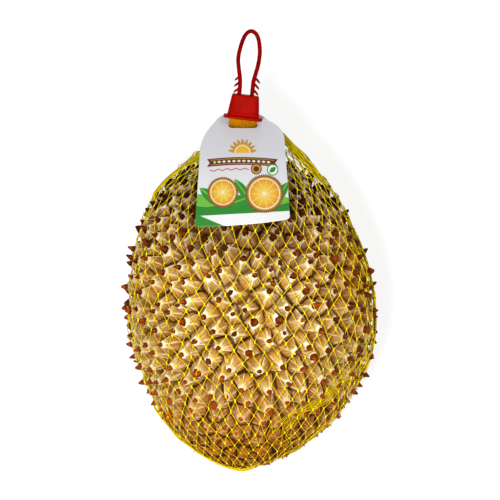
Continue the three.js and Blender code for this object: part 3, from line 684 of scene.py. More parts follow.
def first_places(rows, angle):
    """Where knots start: the neck's ring, the free tent, the latitudes of the fruit, the tail's ring."""
    sine, cosine = np.sin(angle), np.cos(angle)
    x = -6.4 + 16 * sine + NECK_SLACK * np.maximum(0, sine)
    neck = np.stack([x, 143 - 4.8 * cosine, 18 + 6.4 * cosine], -1)
    _, _, start = tail_ways()
    tail = start + np.stack([9 * sine, -3 * cosine, 8.5 * cosine], -1)
    share = np.clip((rows - TENT_ROWS) / (ROWS - TENT_ROWS), 0, 1)
    # Even steps along the front meridian.
    fine = np.linspace(SHOULDER_LATITUDE, LAST_LATITUDE, 200)
    front = over_spines(tilted(fine, 0 * fine))
    walk = walked(front)
    latitude = np.interp(share * walk[-1], walk, fine)
    angle = angle - NET_TWIST * np.sin(TAU * share)
    latitude = latitude - NET_SLANT * np.sin(angle) * np.cos(latitude)
    fruit = over_spines(drawn_to_crease(over_spines(tilted(latitude, angle))))
    t = np.clip(rows / TENT_ROWS, 0, 1)[..., None]
    return np.where((rows == ROWS)[..., None], tail, neck * (1 - t) + fruit * t)


class Net:
    """Two families of strands that cross at the knots: one leans east on its way down, one west.

    paths is (family, strand, point, xyz). Strand k of the east family passes the knots (row r,
    column k + r // 2), and of the west family (row r, column k - (r + 1) // 2).
    """

    def __init__(self, jitter):
        rows = np.arange(ROWS + 1)
        start = np.arange(COLUMNS)[:, None]
        self.columns = np.stack([(start + rows // 2) % COLUMNS, (start - (rows + 1) // 2) % COLUMNS])
        column = np.arange(COLUMNS)[None, :]
        angle = TAU * (column + (rows[:, None] % 2) / 2) / COLUMNS
        knots = first_places(np.broadcast_to(rows[:, None], angle.shape), angle)
        loose = np.sin(np.pi * np.clip(rows / ROWS, 0, 1))[:, None, None] ** 0.3
        loose = loose * (0.15 + 0.85 * smoothstep(TENT_ROWS - 2, TENT_ROWS + 7, rows)[:, None, None])
        stray = jitter * loose
        knots = knots + stray * ripple(knots, 34.0, 80) + 0.5 * stray * ripple(knots, 11.0, 90)
        at_knots = knots[rows[None, None], self.columns]
        share = (np.arange(STEPS) / STEPS)[:, None]
        spans = at_knots[:, :, :-1, None] * (1 - share) + at_knots[:, :, 1:, None] * share
        self.paths = np.concatenate([spans.reshape(2, COLUMNS, -1, 3), at_knots[:, :, -1:]], 2)
        self.spot = rows * STEPS

    def knots(self):
        """Each knot as the mean of the two strands through it, by row and column."""
        places = np.zeros((ROWS + 1, COLUMNS, 3))
        rows = np.arange(ROWS + 1)
        for family in range(2):
            places[rows[None], self.columns[family]] += self.paths[family][:, self.spot] / 2
        return places

    def join(self):
        """Brings both strands of each knot to the same place."""
        places = self.knots()
        rows = np.arange(ROWS + 1)
        self.paths[:, :, self.spot] = places[rows[None, None], self.columns]

    def settle(self, husk, rounds, clearance, sag):
        """Draws the net tight and pushes it out of the flanks, off the thorns and up from the floor.

        Tension moves each point towards the middle between its two neighbours, but only a fifth as far
        along the strand, and a weak hold moves it back sideways to where it started. A point whose
        distance from its cell's flanks is under the clearance moves out along the flank's normal, one
        over a thorn moves sideways from the thorn's axis, and none sinks deeper between the spines than
        the taut net would.
        """
        ends = self.paths[:, :, [0, -1]].copy()
        anchor = self.paths.copy()
        anchor_reach = np.linalg.norm(anchor, axis=-1, keepdims=True)
        taut = smoothstep(0.5, 0.88, np.abs(unit(anchor)[..., 1:2]))
        floor_reach = anchor_reach - TAUT_SINK - SLACK_SINK * (1 - taut)
        floor_reach[:, :, : TENT_ROWS * STEPS] = 0
        floor_reach = floor_reach.reshape(-1, 1)
        for turn in range(rounds):
            pull = FIRM_PULL if turn < rounds * 0.7 else SOFT_PULL
            inner = self.paths[:, :, 1:-1]
            pull_way = (self.paths[:, :, :-2] + self.paths[:, :, 2:]) / 2 - inner
            along = unit(self.paths[:, :, 2:] - self.paths[:, :, :-2])
            pull_way -= 0.8 * (pull_way * along).sum(-1, keepdims=True) * along
            sink = sag * (turn < rounds * 0.8) * unit(inner)
            sink[:, :, : TENT_ROWS * STEPS] = 0
            level = np.linalg.norm(inner, axis=-1, keepdims=True)
            held = anchor[:, :, 1:-1] * level / anchor_reach[:, :, 1:-1]
            self.paths[:, :, 1:-1] = inner + pull * pull_way - sink + HOLD * (held - inner)
            self.join()
            flat = self.paths.reshape(-1, 3)
            if turn % 4 == 0:
                cell = husk.nearest(flat)
            flat = husk.clear(flat, cell, clearance)
            reach = np.linalg.norm(flat, axis=1, keepdims=True)
            flat = flat * np.maximum(1, floor_reach / reach)
            flat[:, 2] = np.maximum(flat[:, 2], REST_LEVEL + NET_ROOM)
            self.paths = flat.reshape(self.paths.shape)
            self.paths[:, :, [0, -1]] = ends
            self.join()
        self.join()


def square_to(along):
    """For directions, the sideways direction nearest +X and the one square to both."""
    side = unit(off_axis(RIGHT, along))
    return side, np.cross(side, along)


def oval(centre, along, half_x, half_z, angle):
    """Points round ovals: centre + side * half_x * sin(angle) + face * half_z * cos(angle)."""
    side, face = square_to(along)
    return centre + side * (half_x * np.sin(angle))[..., None] + face * (half_z * np.cos(angle))[..., None]


def neck_shape():
    """The neck's shares, middle line, directions and half sizes at points along it.

    It runs up behind the card, through its slot and into the ferrule.
    """
    line = catmull_rom(
        [[-6.4, 143, 18], [-6.4, 148.0, 26], [-6.5, 151.0, 34.2], [-6.7, 152.8, 40.2],
         in_clip([0, 0.5, 0.6]), in_clip([0, 10.5, 0.1])],
        NECK_POINTS,
    )
    along = unit(np.gradient(line, axis=0))
    along[0] = [0, 0.8, 0.6]
    t = np.linspace(0, 1, NECK_POINTS)
    half_x, half_z = (np.interp(t, np.arange(6) / 5, sizes) for sizes in (
        (16, 12.4, 11.2, 11.0, 10.2, 8.8), (8, 3.6, 2.4, 2.6, 3.1, 2.7),
    ))
    return t, line, along, half_x, half_z


def neck_paths(shift):
    """Strands up the neck from its ring into the ferrule, evenly spread round a flattening oval."""
    t, line, along, half_x, half_z = neck_shape()
    k = np.arange(COLUMNS)[:, None]
    rooted = np.minimum(1, 4 * t)
    wander = 0.5 * np.sin(7 * t + TAU * draw(k, 30 + shift)) * rooted
    angle = TAU * (k + 0.25 * shift * np.minimum(1, 5 * t) + 0.5 * wander) / COLUMNS
    shrink = 1 - 0.12 * draw(k, 33 + shift) * rooted
    half_x = half_x + NECK_SLACK * (np.sin(angle) > 0) * smoothstep(0.22, 0, t)
    return oval(line, along, half_x * shrink, half_z * shrink, angle)


def tail_paths(shift):
    """Strands from the tail's ring through its waist into the flat sealed end."""
    way, back, start = tail_ways()
    t = np.linspace(0, 1, 18)
    out, behind, half_x, half_z = (np.interp(t, [0, 0.25, 0.45, 0.65, 1], sizes) for sizes in (
        (0, 2.5, 6, 7, 6.5), (0, 0.5, 3, 9, 15.6), (9, 8.6, 5.6, 5.0, 8.2), (9, 7.6, 3.7, 2.2, 0.9),
    ))
    lean = np.clip(t / 0.6, 0, 1)[:, None]
    along = unit(way * (1 - lean) + back * lean)
    centre = start + way * out[:, None] + back * behind[:, None]
    # The last row is an even one, so strand k of each family ends on its own column.
    k = np.arange(COLUMNS)[:, None]
    angle = TAU * (k + 0.25 * shift * np.minimum(1, 4 * t)) / COLUMNS
    return oval(centre, along, half_x, half_z, angle)


def on_front(plan):
    """Points just over the spines of the front whose X and Y are given, by repeated correction."""
    z = np.full(len(plan), 40.0)
    for _ in range(30):
        p = over_spines(np.concatenate([plan, z[:, None]], 1))
        room = (p**2).sum(1) - (plan**2).sum(1)
        z = (z + np.sqrt(np.maximum(room, 1))) / 2
    return np.concatenate([plan, z[:, None]], 1)


def drawn_tight(paths, husk):
    """Strands with fixed ends sunk between the spines, kept off their flanks and smoothed."""
    floor = np.linalg.norm(paths, axis=-1, keepdims=True) - FOLD_SUNK
    for _ in range(FOLD_ROUNDS):
        moved = paths - FOLD_SINK * unit(paths)
        moved[:, 1:-1] += FOLD_PULL * ((paths[:, :-2] + paths[:, 2:]) / 2 - paths[:, 1:-1])
        flat = moved.reshape(-1, 3)
        moved = husk.clear(flat, husk.nearest(flat), FOLD_CLEARANCE).reshape(paths.shape)
        moved *= np.maximum(1, floor / np.linalg.norm(moved, axis=-1, keepdims=True))
        moved[:, [0, -1]] = paths[:, [0, -1]]
        paths = moved
    return paths


def nearest_knots(net, goal):
    """The net's knot closest to each place."""
    knots = net.knots().reshape(-1, 3)
    return knots[np.linalg.norm(knots[None] - goal[:, None], axis=-1).argmin(1)]


def edge_paths(net):
    """The flat net's edge folds: neck to both shoulders, round the lower left and down the right flank.

    Each strand runs straight to its knot, but between its ends never lower than just over the spines,
    less the depth that its fold is sunk by.
    """
    k = np.arange(EDGE_STRANDS)
    spread = (k - (EDGE_STRANDS - 1) / 2) / EDGE_STRANDS
    t = np.linspace(0, 1, 56)[:, None]
    lift = smoothstep(0, 0.1, t) * smoothstep(1, 0.9, t)

    def ring_side(turned):
        """Places on the -X or +X side of the neck's ring."""
        return first_places(0 * k, 1.1 * spread + turned * np.pi / 2)

    def knots_near(x, y, channel):
        """Knots spread round a place of the fruit's outline."""
        deep = 24 * (draw(k, channel) - 0.5)
        goal = np.stack([x * (1 + 0.2 * spread), y - 20 * np.sign(y) * spread, deep], -1)
        return nearest_knots(net, over_spines(goal))

    sides = []
    for start, end, sunk in (
        (ring_side(-1), knots_near(-76, 90, 62), 0.8),
        (ring_side(1), knots_near(64, 96, 62), 0.8),
        (knots_near(6, -124, 63), knots_near(-74, -74, 62), 1.6),
        (knots_near(84, 66, 63), knots_near(92, -50, 62), 4.2),
    ):
        path = start[:, None] * (1 - t) + end[:, None] * t
        reach = np.linalg.norm(path, axis=-1, keepdims=True)
        over = np.linalg.norm(over_spines(path), axis=-1, keepdims=True) - sunk
        sides.append(path * (1 + lift * np.maximum(0, over / reach - 1)))
    return np.concatenate(sides)


def fold_paths(net, husk):
    """The net's fold at the lower right: strands from the tail along the crease to knots on the flank.

    Neighbours swing to each other and away by a cosine of their length, as squeezed diamonds do.
    """
    samples = 96
    _, _, start = tail_ways()
    first = over_spines(np.array([5.0, -121, -12]))
    line = over_spines(catmull_rom(np.concatenate([[start, first], on_front(CREASE)]), samples))
    side = unit(np.cross(unit(np.gradient(line, axis=0)), unit(line)))
    t = np.linspace(0, 1, samples)
    i = np.arange(FOLD_STRANDS)[:, None]
    spacing = np.interp(t, [0, 0.2, 0.4, 0.6, 0.85, 1], [1.4, 3.9, 3.3, 2.3, 1.9, 2.6])
    swing = np.interp(t, [0.3, 0.5], [0.3, 0.2]) * (-1.0) ** i * np.cos(TAU * walked(line) / FOLD_DIAMOND)
    offset = spacing * (i - (FOLD_STRANDS - 1) / 2 + swing + 0.3 * (draw(i, 60) - 0.5))
    paths = line + side * offset[..., None]
    # The last stretch fans out to knots of the net further up the flank.
    share = i / (FOLD_STRANDS - 1)
    end = nearest_knots(net, np.array([72.0, -20, 56]) * (1 - share) + np.array([97.0, -8, -14]) * share)
    reach = over_spines(paths[:, -1:] + (end[:, None] - paths[:, -1:]) * np.linspace(0, 1, 22)[1:, None])
    paths = np.concatenate([paths, reach], 1)
    paths[:, -1] = end
    return drawn_tight(paths, husk)


def build_strands(name, color, *shape):
    """One piece of net plastic from tubes of the given paths, outward hint, sizes and number of sides."""
    points, quads, caps = tubes(*shape)
    obj = build_mesh(name, points, [quads, caps])
    finish(obj, net_material(name + "_plastic", color), "net", "net_bag")


def build_net(look):
    """Two families of strands, each unbroken from inside the ferrule to the tail, and the net's other parts.

    Those are the filling of the gathered neck, the fold at the lower right, the edge folds and the knots.
    """
    husk = Husk(look.spine_count)
    net = Net(look.net_unevenness)
    rounds = NET_ROUNDS
    net.settle(husk, rounds, look.strand_width / 2 + 0.1, look.net_sag)
    for family, name in enumerate(("net_strands_east", "net_strands_west")):
        shift = 1 - 2 * family
        neck = neck_paths(shift)[:, ::-1]
        end = tail_paths(shift)[net.columns[family][:, -1]]
        paths = np.concatenate([neck[:, :-1], net.paths[family], end[:, 1:]], 1)
        # Strands are stouter in the neck and finer towards the lower end.
        place = np.arange(paths.shape[1]) - (NECK_POINTS - 1)
        crowd = 0.7 * smoothstep(TENT_ROWS * STEPS, 0, place) - 0.2 * smoothstep(12, 30, place / STEPS)
        width = look.strand_width / 2 * (1 + crowd + 0.12 * ripple(paths, 15.0, 100 + 10 * family)[..., 0])
        build_strands(name, look.net_color, paths, unit(paths), width, 0.82 * width, 6)
    # One closed body fills the gathered neck between its strands, its colour dimmed as painted shade between
    # them.
    _, line, along, half_x, half_z = (part[5:] for part in neck_shape())
    _, face = square_to(along)
    shade = dimmed(look.net_color, 0.6)
    build_strands("net_bundle", shade, line[None], face[None], 0.82 * half_x[None], 0.8 * half_z[None], 20)
    width = look.strand_width
    fold = fold_paths(net, husk)
    shade = dimmed(look.net_color, 0.95)
    build_strands("net_fold", shade, fold, unit(fold), 0.42 * width, 0.34 * width, 6)
    build_strands("net_edges", look.net_color, edge_paths(net), UP, 0.95 * width, 0.25 * width, 6)
    build_knots(look, net.knots())


def build_knots(look, knots):
    """An oval bead where two strands cross: a sphere stretched along the net's length."""
    lengthwise = unit(np.gradient(knots, axis=0)[1:-1].reshape(-1, 3))
    places = knots[1:-1].reshape(-1, 3)
    side = unit(np.cross(lengthwise, unit(places)))
    out = np.cross(side, lengthwise)
    scale = look.strand_width * (1.08 + 0.36 * draw(np.arange(len(places)), 50))[:, None, None]
    v = (np.pi * np.arange(1, 4) / 4)[:, None, None]
    ring = around(KNOT_WIDE * side, KNOT_DEEP * out, TAU * np.arange(6) / 6)
    bead = lengthwise[:, None, None] * (KNOT_LONG * np.cos(v)) + ring[:, None] * np.sin(v)
    poles = places[:, None] + scale * KNOT_LONG * np.stack([lengthwise, -lengthwise], 1)
    points, quads, fans = skins(places[:, None, None] + scale[..., None] * bead, poles)
    obj = build_mesh("net_knots", points, [quads, fans])
    # The knots are paler than the strands: thicker plastic, and a painted glint where they catch the light.
    finish(obj, net_material("net_knot_plastic", look.knot_color_with_glint), "net")


# ---- The stalk ----


def build_stalk():
    """Cut stalk stub: a waisted, ringed peg that leans to the front, with a rough woody end."""
    stations = [-STALK_SUNK, 0, 2.5, 6, 11.2, 15.8, 17.5, STALK_LENGTH]
    radii = np.array([1.35, 1.3, 1.06, 0.94, 0.96, 1.08, 1.04, 0.94]) * STALK_RADIUS
    t = np.linspace(-STALK_SUNK, STALK_LENGTH, 46)
    lean = np.maximum(0, t) / STALK_LENGTH
    centre = STALK_ROOT + np.stack([0 * t, t * (1 - 0.1 * lean), 0.5 * np.maximum(0, t) * lean], -1)
    along = unit(np.gradient(centre, axis=0))
    side, face = square_to(along)
    a = TAU * np.arange(40) / 40
    grooves = 1 + 0.02 * np.sin(t * 2.3)[:, None] + 0.03 * np.sin(5 * a + 0.4 * t[:, None])
    radius = np.interp(t, stations, radii)[:, None] * grooves
    rings = centre[:, None] + radius[..., None] * around(side, -face, a)
    rings = rings + 0.35 * ripple(rings, 4.0, 130)
    # The cut face: rings that shrink to the middle and dish a little.
    inner = [
        centre[-1] + (rings[-1] - centre[-1]) * share - along[-1] * sink
        for share, sink in ((0.9, 0.1), (0.7, 0.45), (0.4, 0.6), (0.15, 0.5))
    ]
    rings = np.concatenate([rings, inner])
    points, quads, fans = skins(rings[None], rings[[0, -1]].mean(1)[None])
    obj = build_mesh("stalk_stub", points, [quads, fans])
    add_values(obj, "cut", np.clip(((points - STALK_ROOT) @ along[-1] - 15) / 3, 0, 1))
    finish(obj, stalk_material(), "stalk", "fruit_stalk")


# ---- The card tag ----


def card_level(x, y):
    """Height of the card's underside over plan position (x, y).

    It falls with y by a straight and a squared part, and to both sides with the square of x. The lower
    right corner is curled up.
    """
    up = y - CARD_FOOT
    corner = np.maximum(0, (x + 5) / 36) * np.maximum(0, 1 - up / 46)
    slope = CARD_LEVEL - CARD_SLOPE * up - CARD_BEND * up**2
    return slope - CARD_ROLL * (x + 6) ** 2 + CARD_CURL * corner**2


def slot_edge(way):
    """Points of the slot's edge in the given directions from its middle, by halving."""
    low, high = np.zeros(len(way)), np.full(len(way), 20.0)
    for _ in range(30):
        middle = (low + high) / 2
        p = np.abs(way * middle[:, None])
        inside = np.hypot(np.maximum(p[:, 0] - SLOT_REACH, 0), p[:, 1]) < SLOT_RADIUS
        low, high = np.where(inside, middle, low), np.where(inside, high, middle)
    return SLOT_MIDDLE + way * low[:, None]


def build_card(look):
    """Card tag: a grid from the slot's edge to the outer edge, on both faces, with rounded rims."""
    t = (np.arange(60) / 60)[:, None]
    a, b, c = np.array(CARD_OUTLINE, float).transpose(1, 0, 2)[:, :, None]
    line = ((1 - t) ** 2 * a + 2 * t * (1 - t) * b + t**2 * c).reshape(-1, 2)
    line = np.concatenate([line, line[:1]])
    walk = walked(line)
    stations = walk[-1] * np.arange(CARD_COLUMNS) / CARD_COLUMNS
    edge = np.stack([np.interp(stations, walk, line[:, k]) for k in (0, 1)], -1)
    slot = slot_edge(unit(edge - SLOT_MIDDLE))
    share = np.concatenate([[0.0, 0.004], np.linspace(0.02, 0.985, 34), [0.996, 1.0]])[:, None, None]
    plan = slot + (edge - slot) * share
    level = card_level(plan[..., 0], plan[..., 1])
    thick = CARD_THICKNESS * np.hypot(1, CARD_SLOPE + CARD_BEND * CARD_FOOT)
    # Slightly domed over the first and last steps, so that the rims catch the light.
    rim = np.minimum(share[:, :, 0], 1 - share[:, :, 0])
    soft = 0.12 * (1 - smoothstep(0, 0.004, rim))
    top = np.concatenate([plan, (level + thick - soft)[..., None]], -1)
    under = np.concatenate([plan, (level + soft)[..., None]], -1)
    rings = np.concatenate([top, under[::-1]])
    quads = grid_faces(*rings.shape[:2], wrapped=True)[:, [0, 3, 2, 1]]
    obj = build_mesh("card_tag", rings.reshape(-1, 3), [quads])
    front = np.arange(len(rings)) < len(top) - 1
    add_values(obj, "printed", np.broadcast_to(front[:, None], rings.shape[:2]), "FACE")
    add_uv(obj, "plan", rings[..., :2].reshape(-1, 2)[quads.ravel()] / 100)
    finish(obj, card_material(look), "card", "label_card")


# ---- The ferrule and its hanging loop, in the clip's own frame ----


def rounded_rectangle(half_x, half_z, radius, y):
    """Rounded rectangle across Y, from +X round through +Z, with points spread along its sides too."""
    arcs = []
    for corner in range(4):
        angle = np.pi / 2 * (corner + np.linspace(0, 1, CORNER_POINTS))
        x = (1 if corner in (0, 3) else -1) * (half_x - radius) + radius * np.cos(angle)
        z = (1 if corner < 2 else -1) * (half_z - radius) + radius * np.sin(angle)
        arcs.append(np.stack([x, 0 * angle + y, z], -1))
    parts = []
    for corner in range(4):
        a, b = arcs[corner][-1], arcs[(corner + 1) % 4][0]
        count = SIDE_POINTS[corner % 2]
        t = (np.arange(1, count + 1) / (count + 1))[:, None]
        parts += [arcs[corner], a + (b - a) * t]
    return np.concatenate(parts)


def build_ferrule(look):
    """Hollow cap with a flange round its mouth, a sunk front panel and two holes in its roof.

    One closed skin: from the roof's outline down the outside, round the flange and up the cavity, then
    the roof and the ceiling, each of two halves with a hole, and the two holes' walls.
    """
    roof = [
        (9.6, 4.4, 2.4, 19.5), (10.1, 4.9, 2.8, 19.42), (10.5, 5.3, 3.1, 19.1), (10.75, 5.55, 3.3, 18.6),
    ]
    side = [(10.95 + 1.75 * t, 5.75 + 0.83 * t, 3.5 + 0.1 * t, 18.0 - 14.8 * t) for t in np.arange(30) / 29]
    flange_and_cavity = [
        (12.85, 6.7, 3.65, 2.85), (13.15, 6.95, 3.75, 2.6), (14.7, 7.8, 4.6, 2.5), (15.2, 8.3, 4.95, 2.42),
        (15.52, 8.62, 5.15, 2.15), (15.6, 8.7, 5.2, 1.7), (15.6, 8.7, 5.2, 0.8), (15.52, 8.62, 5.15, 0.35),
        (15.2, 8.3, 4.95, 0.08), (14.7, 7.8, 4.6, 0), (12.1, 6.1, 3.4, 0), (11.8, 5.85, 3.1, 0.15),
        (11.55, 5.6, 3.0, 0.6), (10.9, 4.8, 2.6, 2.5), (10.1, 4.5, 2.6, 9), (9.4, 4.2, 2.6, 15.6),
        (9.1, 3.9, 2.4, 16),
    ]
    rings = np.stack([rounded_rectangle(*row) for row in roof + side + flange_and_cavity])
    # The front panel: sunk over a rounded rectangle that widens with the body.
    body = slice(len(roof), len(roof) + len(side))
    x, y, z = rings[body, :, 0], rings[body, :, 1], rings[body, :, 2]
    half = 8.6 - 0.115 * (y - 5)
    sunk = smoothstep(half + 0.5, half - 0.5, np.abs(x))
    sunk = sunk * smoothstep(4.6, 5.6, y) * smoothstep(16.2, 15.2, y)
    rings[body, :, 2] = z - PANEL_DEPTH * sunk * (z > 4)
    rows, columns, _ = rings.shape
    ids = np.arange(rows * columns).reshape(rows, columns)
    points, quads = [rings.reshape(-1, 3)], [grid_faces(rows, columns)]
    # Columns where the dividing line of roof and ceiling meets the front and the back.
    front = CORNER_POINTS + SIDE_POINTS[0] // 2
    back = front + columns // 2
    halves = (5.0, np.r_[back:columns, 0 : front + 1], 1), (-5.2, np.arange(front, back + 1), -1)
    total = rows * columns
    share = (np.arange(1, DIVIDER_POINTS + 1) / (DIVIDER_POINTS + 1))[:, None]
    rims = []
    for row, turned in ((0, False), (rows - 1, True)):
        divider = rings[row, front] + (rings[row, back] - rings[row, front]) * share
        divider_ids = total + np.arange(DIVIDER_POINTS)
        points.append(divider)
        total += DIVIDER_POINTS
        for centre, outline, way in halves:
            loop = np.concatenate([ids[row, outline], divider_ids[::way]])
            outer = np.concatenate([rings[row, outline], divider[::way]])
            middle = np.array([centre, outer[0, 1], 0.0])
            circle_ids = total + np.arange(len(outer))
            points.append(middle + unit(outer - middle) * HOLE_RADIUS)
            total += len(outer)
            n, m = np.roll(loop, -1), np.roll(circle_ids, -1)
            quads.append(np.stack([loop, n, m, circle_ids] if turned else [loop, circle_ids, m, n], -1))
            rims.append(circle_ids)
    for r, c in zip(rims[:2], rims[2:]):
        quads.append(np.stack([r, c, np.roll(c, -1), np.roll(r, -1)], -1))
    obj = build_mesh("ferrule", in_clip(np.concatenate(points)), quads)
    finish(obj, red_material("ferrule_red", look.ferrule_color, 0.34), "ferrule", "clip_ferrule")


def build_loop(look):
    """Hanging loop: a round cord along a closed curve, with three drooping barbs on each side."""
    line = catmull_rom([(x, y, 0) for x, y in LOOP_LINE], CORD_STEPS, closed=True)
    side = np.cross(unit(np.roll(line, -1, 0) - np.roll(line, 1, 0)), UP)
    radius = CORD_RADIUS * (1 + 0.02 * ripple(line, 9.0, 140)[:, :1])
    ring = around(side, UP, TAU * np.arange(CORD_SIDES) / CORD_SIDES)
    points = (line[:, None] + radius[..., None] * ring).reshape(-1, 3)
    cord = grid_faces(CORD_STEPS, CORD_SIDES, wrapped=True)
    t = np.linspace(0, 1, 12)
    barbs = []
    for turned in (-1, 1):
        for y in (23.6, 28.4, 33.2):
            start = np.array([turned * (5.3 + 0.03 * (y - 24)), y + 0.6, 0])
            barbs.append(start + np.stack([turned * 4.6 * t, -2.6 * t - 1.4 * t**2, 0 * t], -1))
    reach = 1.3 * (1 - 0.22 * t) * np.sqrt(np.maximum(1 - t**8, 0.06))
    more, quads, caps = tubes(np.stack(barbs), UP, 0.85 * reach, reach, 10)
    everything = in_clip(np.concatenate([points, more]))
    obj = build_mesh("hanging_loop", everything, [cord, quads + len(points), caps + len(points)])
    finish(obj, red_material("loop_red", look.loop_color, 0.4), "loop", "clip_loop")


# ---- Materials ----


def dimmed(color, share):
    """The given share of a colour."""
    return tuple(share * c for c in color)


def at(y):
    """The frame's Y, in metres, of a place y along the fruit, in millimetres."""
    return (y + MIDDLE[1]) / 1000


class Shader:
    """A principled material with short calls for wiring nodes into it."""

    def __init__(self, name, color, roughness, specular=0.5):
        self.material = bpy.data.materials.new(name)
        self.material.use_nodes = True
        self.tree = self.material.node_tree
        self.surface = next(n for n in self.tree.nodes if n.type == "BSDF_PRINCIPLED")
        self.surface.inputs["Base Color"].default_value = (*color, 1)
        self.surface.inputs["Roughness"].default_value = roughness
        self.surface.inputs["Specular IOR Level"].default_value = specular
        self.material.diffuse_color = (*color, 1)

    def node(self, kind, inputs, **settings):
        """A new node of a kind, with its settings made and its inputs plugged."""
        made = self.tree.nodes.new("ShaderNode" + kind)
        for key, value in settings.items():
            setattr(made, key, value)
        for key, value in inputs.items():
            self.plug(made.inputs[key], value)
        return made

    def plug(self, socket, value):
        """Links another node's output to a socket, or sets the socket to a value."""
        if isinstance(value, bpy.types.NodeSocket):
            self.tree.links.new(value, socket)
        elif socket.type == "RGBA":
            socket.default_value = (*value, 1)
        else:
            socket.default_value = value

    def wear(self, **inputs):
        """Plugs inputs of the surface, whose names are given with _ for a blank."""
        for name, value in inputs.items():
            self.plug(self.surface.inputs[name.replace("_", " ")], value)

    def math(self, operation, value, *others, clamp=False):
        """The operation on one value, or on it and each of the others in turn."""
        for other in others or (0.0,):
            value = self.node("Math", {0: value, 1: other}, operation=operation, use_clamp=clamp).outputs[0]
        return value

    def times(self, *values):
        """Product of the values."""
        return self.math("MULTIPLY", *values)

    def wave(self, value, pace):
        """Sine of the value times the pace."""
        return self.math("SINE", self.times(value, pace))

    def ripples(self, value, pace):
        """Sine of the value times the pace, without its sign."""
        return self.math("ABSOLUTE", self.wave(value, pace))

    def mix(self, share, a, b, blend="MIX"):
        """Colour a with the given share of b over it, or multiplied into it."""
        made = self.node("Mix", {}, data_type="RGBA", blend_type=blend)
        for socket, value in ((0, share), (6, a), (7, b)):
            self.plug(made.inputs[socket], value)
        return made.outputs[2]

    def coats(self, color, *coats, blend="MIX"):
        """A colour under coats of (share, colour), laid on in turn."""
        for share, coat in coats:
            color = self.mix(share, color, coat, blend)
        return color

    def ramp(self, value, stops):
        """Colour for a value between stops of (value, colour)."""
        made = self.node("ValToRGB", {0: value})
        ramp = made.color_ramp
        while len(ramp.elements) < len(stops):
            ramp.elements.new(1.0)
        for element, (place, color) in zip(ramp.elements, stops):
            element.position = place
            element.color = (*color, 1)
        return made.outputs[0]

    def span(self, value, low, high, to_low=0.0, to_high=1.0):
        """The value's range from low to high laid onto another range, and held at its ends."""
        return self.node("MapRange", {0: value, 1: low, 2: high, 3: to_low, 4: to_high}).outputs[0]

    def noise(self, vector, scale, detail=2.0, roughness=0.55, distortion=0.0):
        """Smooth noise from 0 to 1 over a vector."""
        inputs = {"Vector": vector, "Scale": scale, "Detail": detail, "Roughness": roughness,
                  "Distortion": distortion}
        return self.node("TexNoise", inputs).outputs["Fac"]

    def place(self):
        """Place in the frame, in metres."""
        return self.node("TexCoord", {}).outputs["Object"]

    def parts(self, vector):
        """X, Y and Z of a vector."""
        return self.node("SeparateXYZ", {0: vector}).outputs

    def value(self, name):
        """A number stored on the mesh."""
        return self.node("Attribute", {}, attribute_name=name).outputs["Fac"]

    def uv(self, name, scale):
        """A pair of numbers stored on the mesh's corners, scaled."""
        source = self.node("UVMap", {}, uv_map=name).outputs["UV"]
        return self.node("Mapping", {"Vector": source, "Scale": scale}).outputs[0]

    def bump(self, height, distance, strength):
        """Relief of the surface."""
        inputs = {"Height": height, "Distance": distance, "Strength": strength}
        self.wear(Normal=self.node("Bump", inputs).outputs[0])


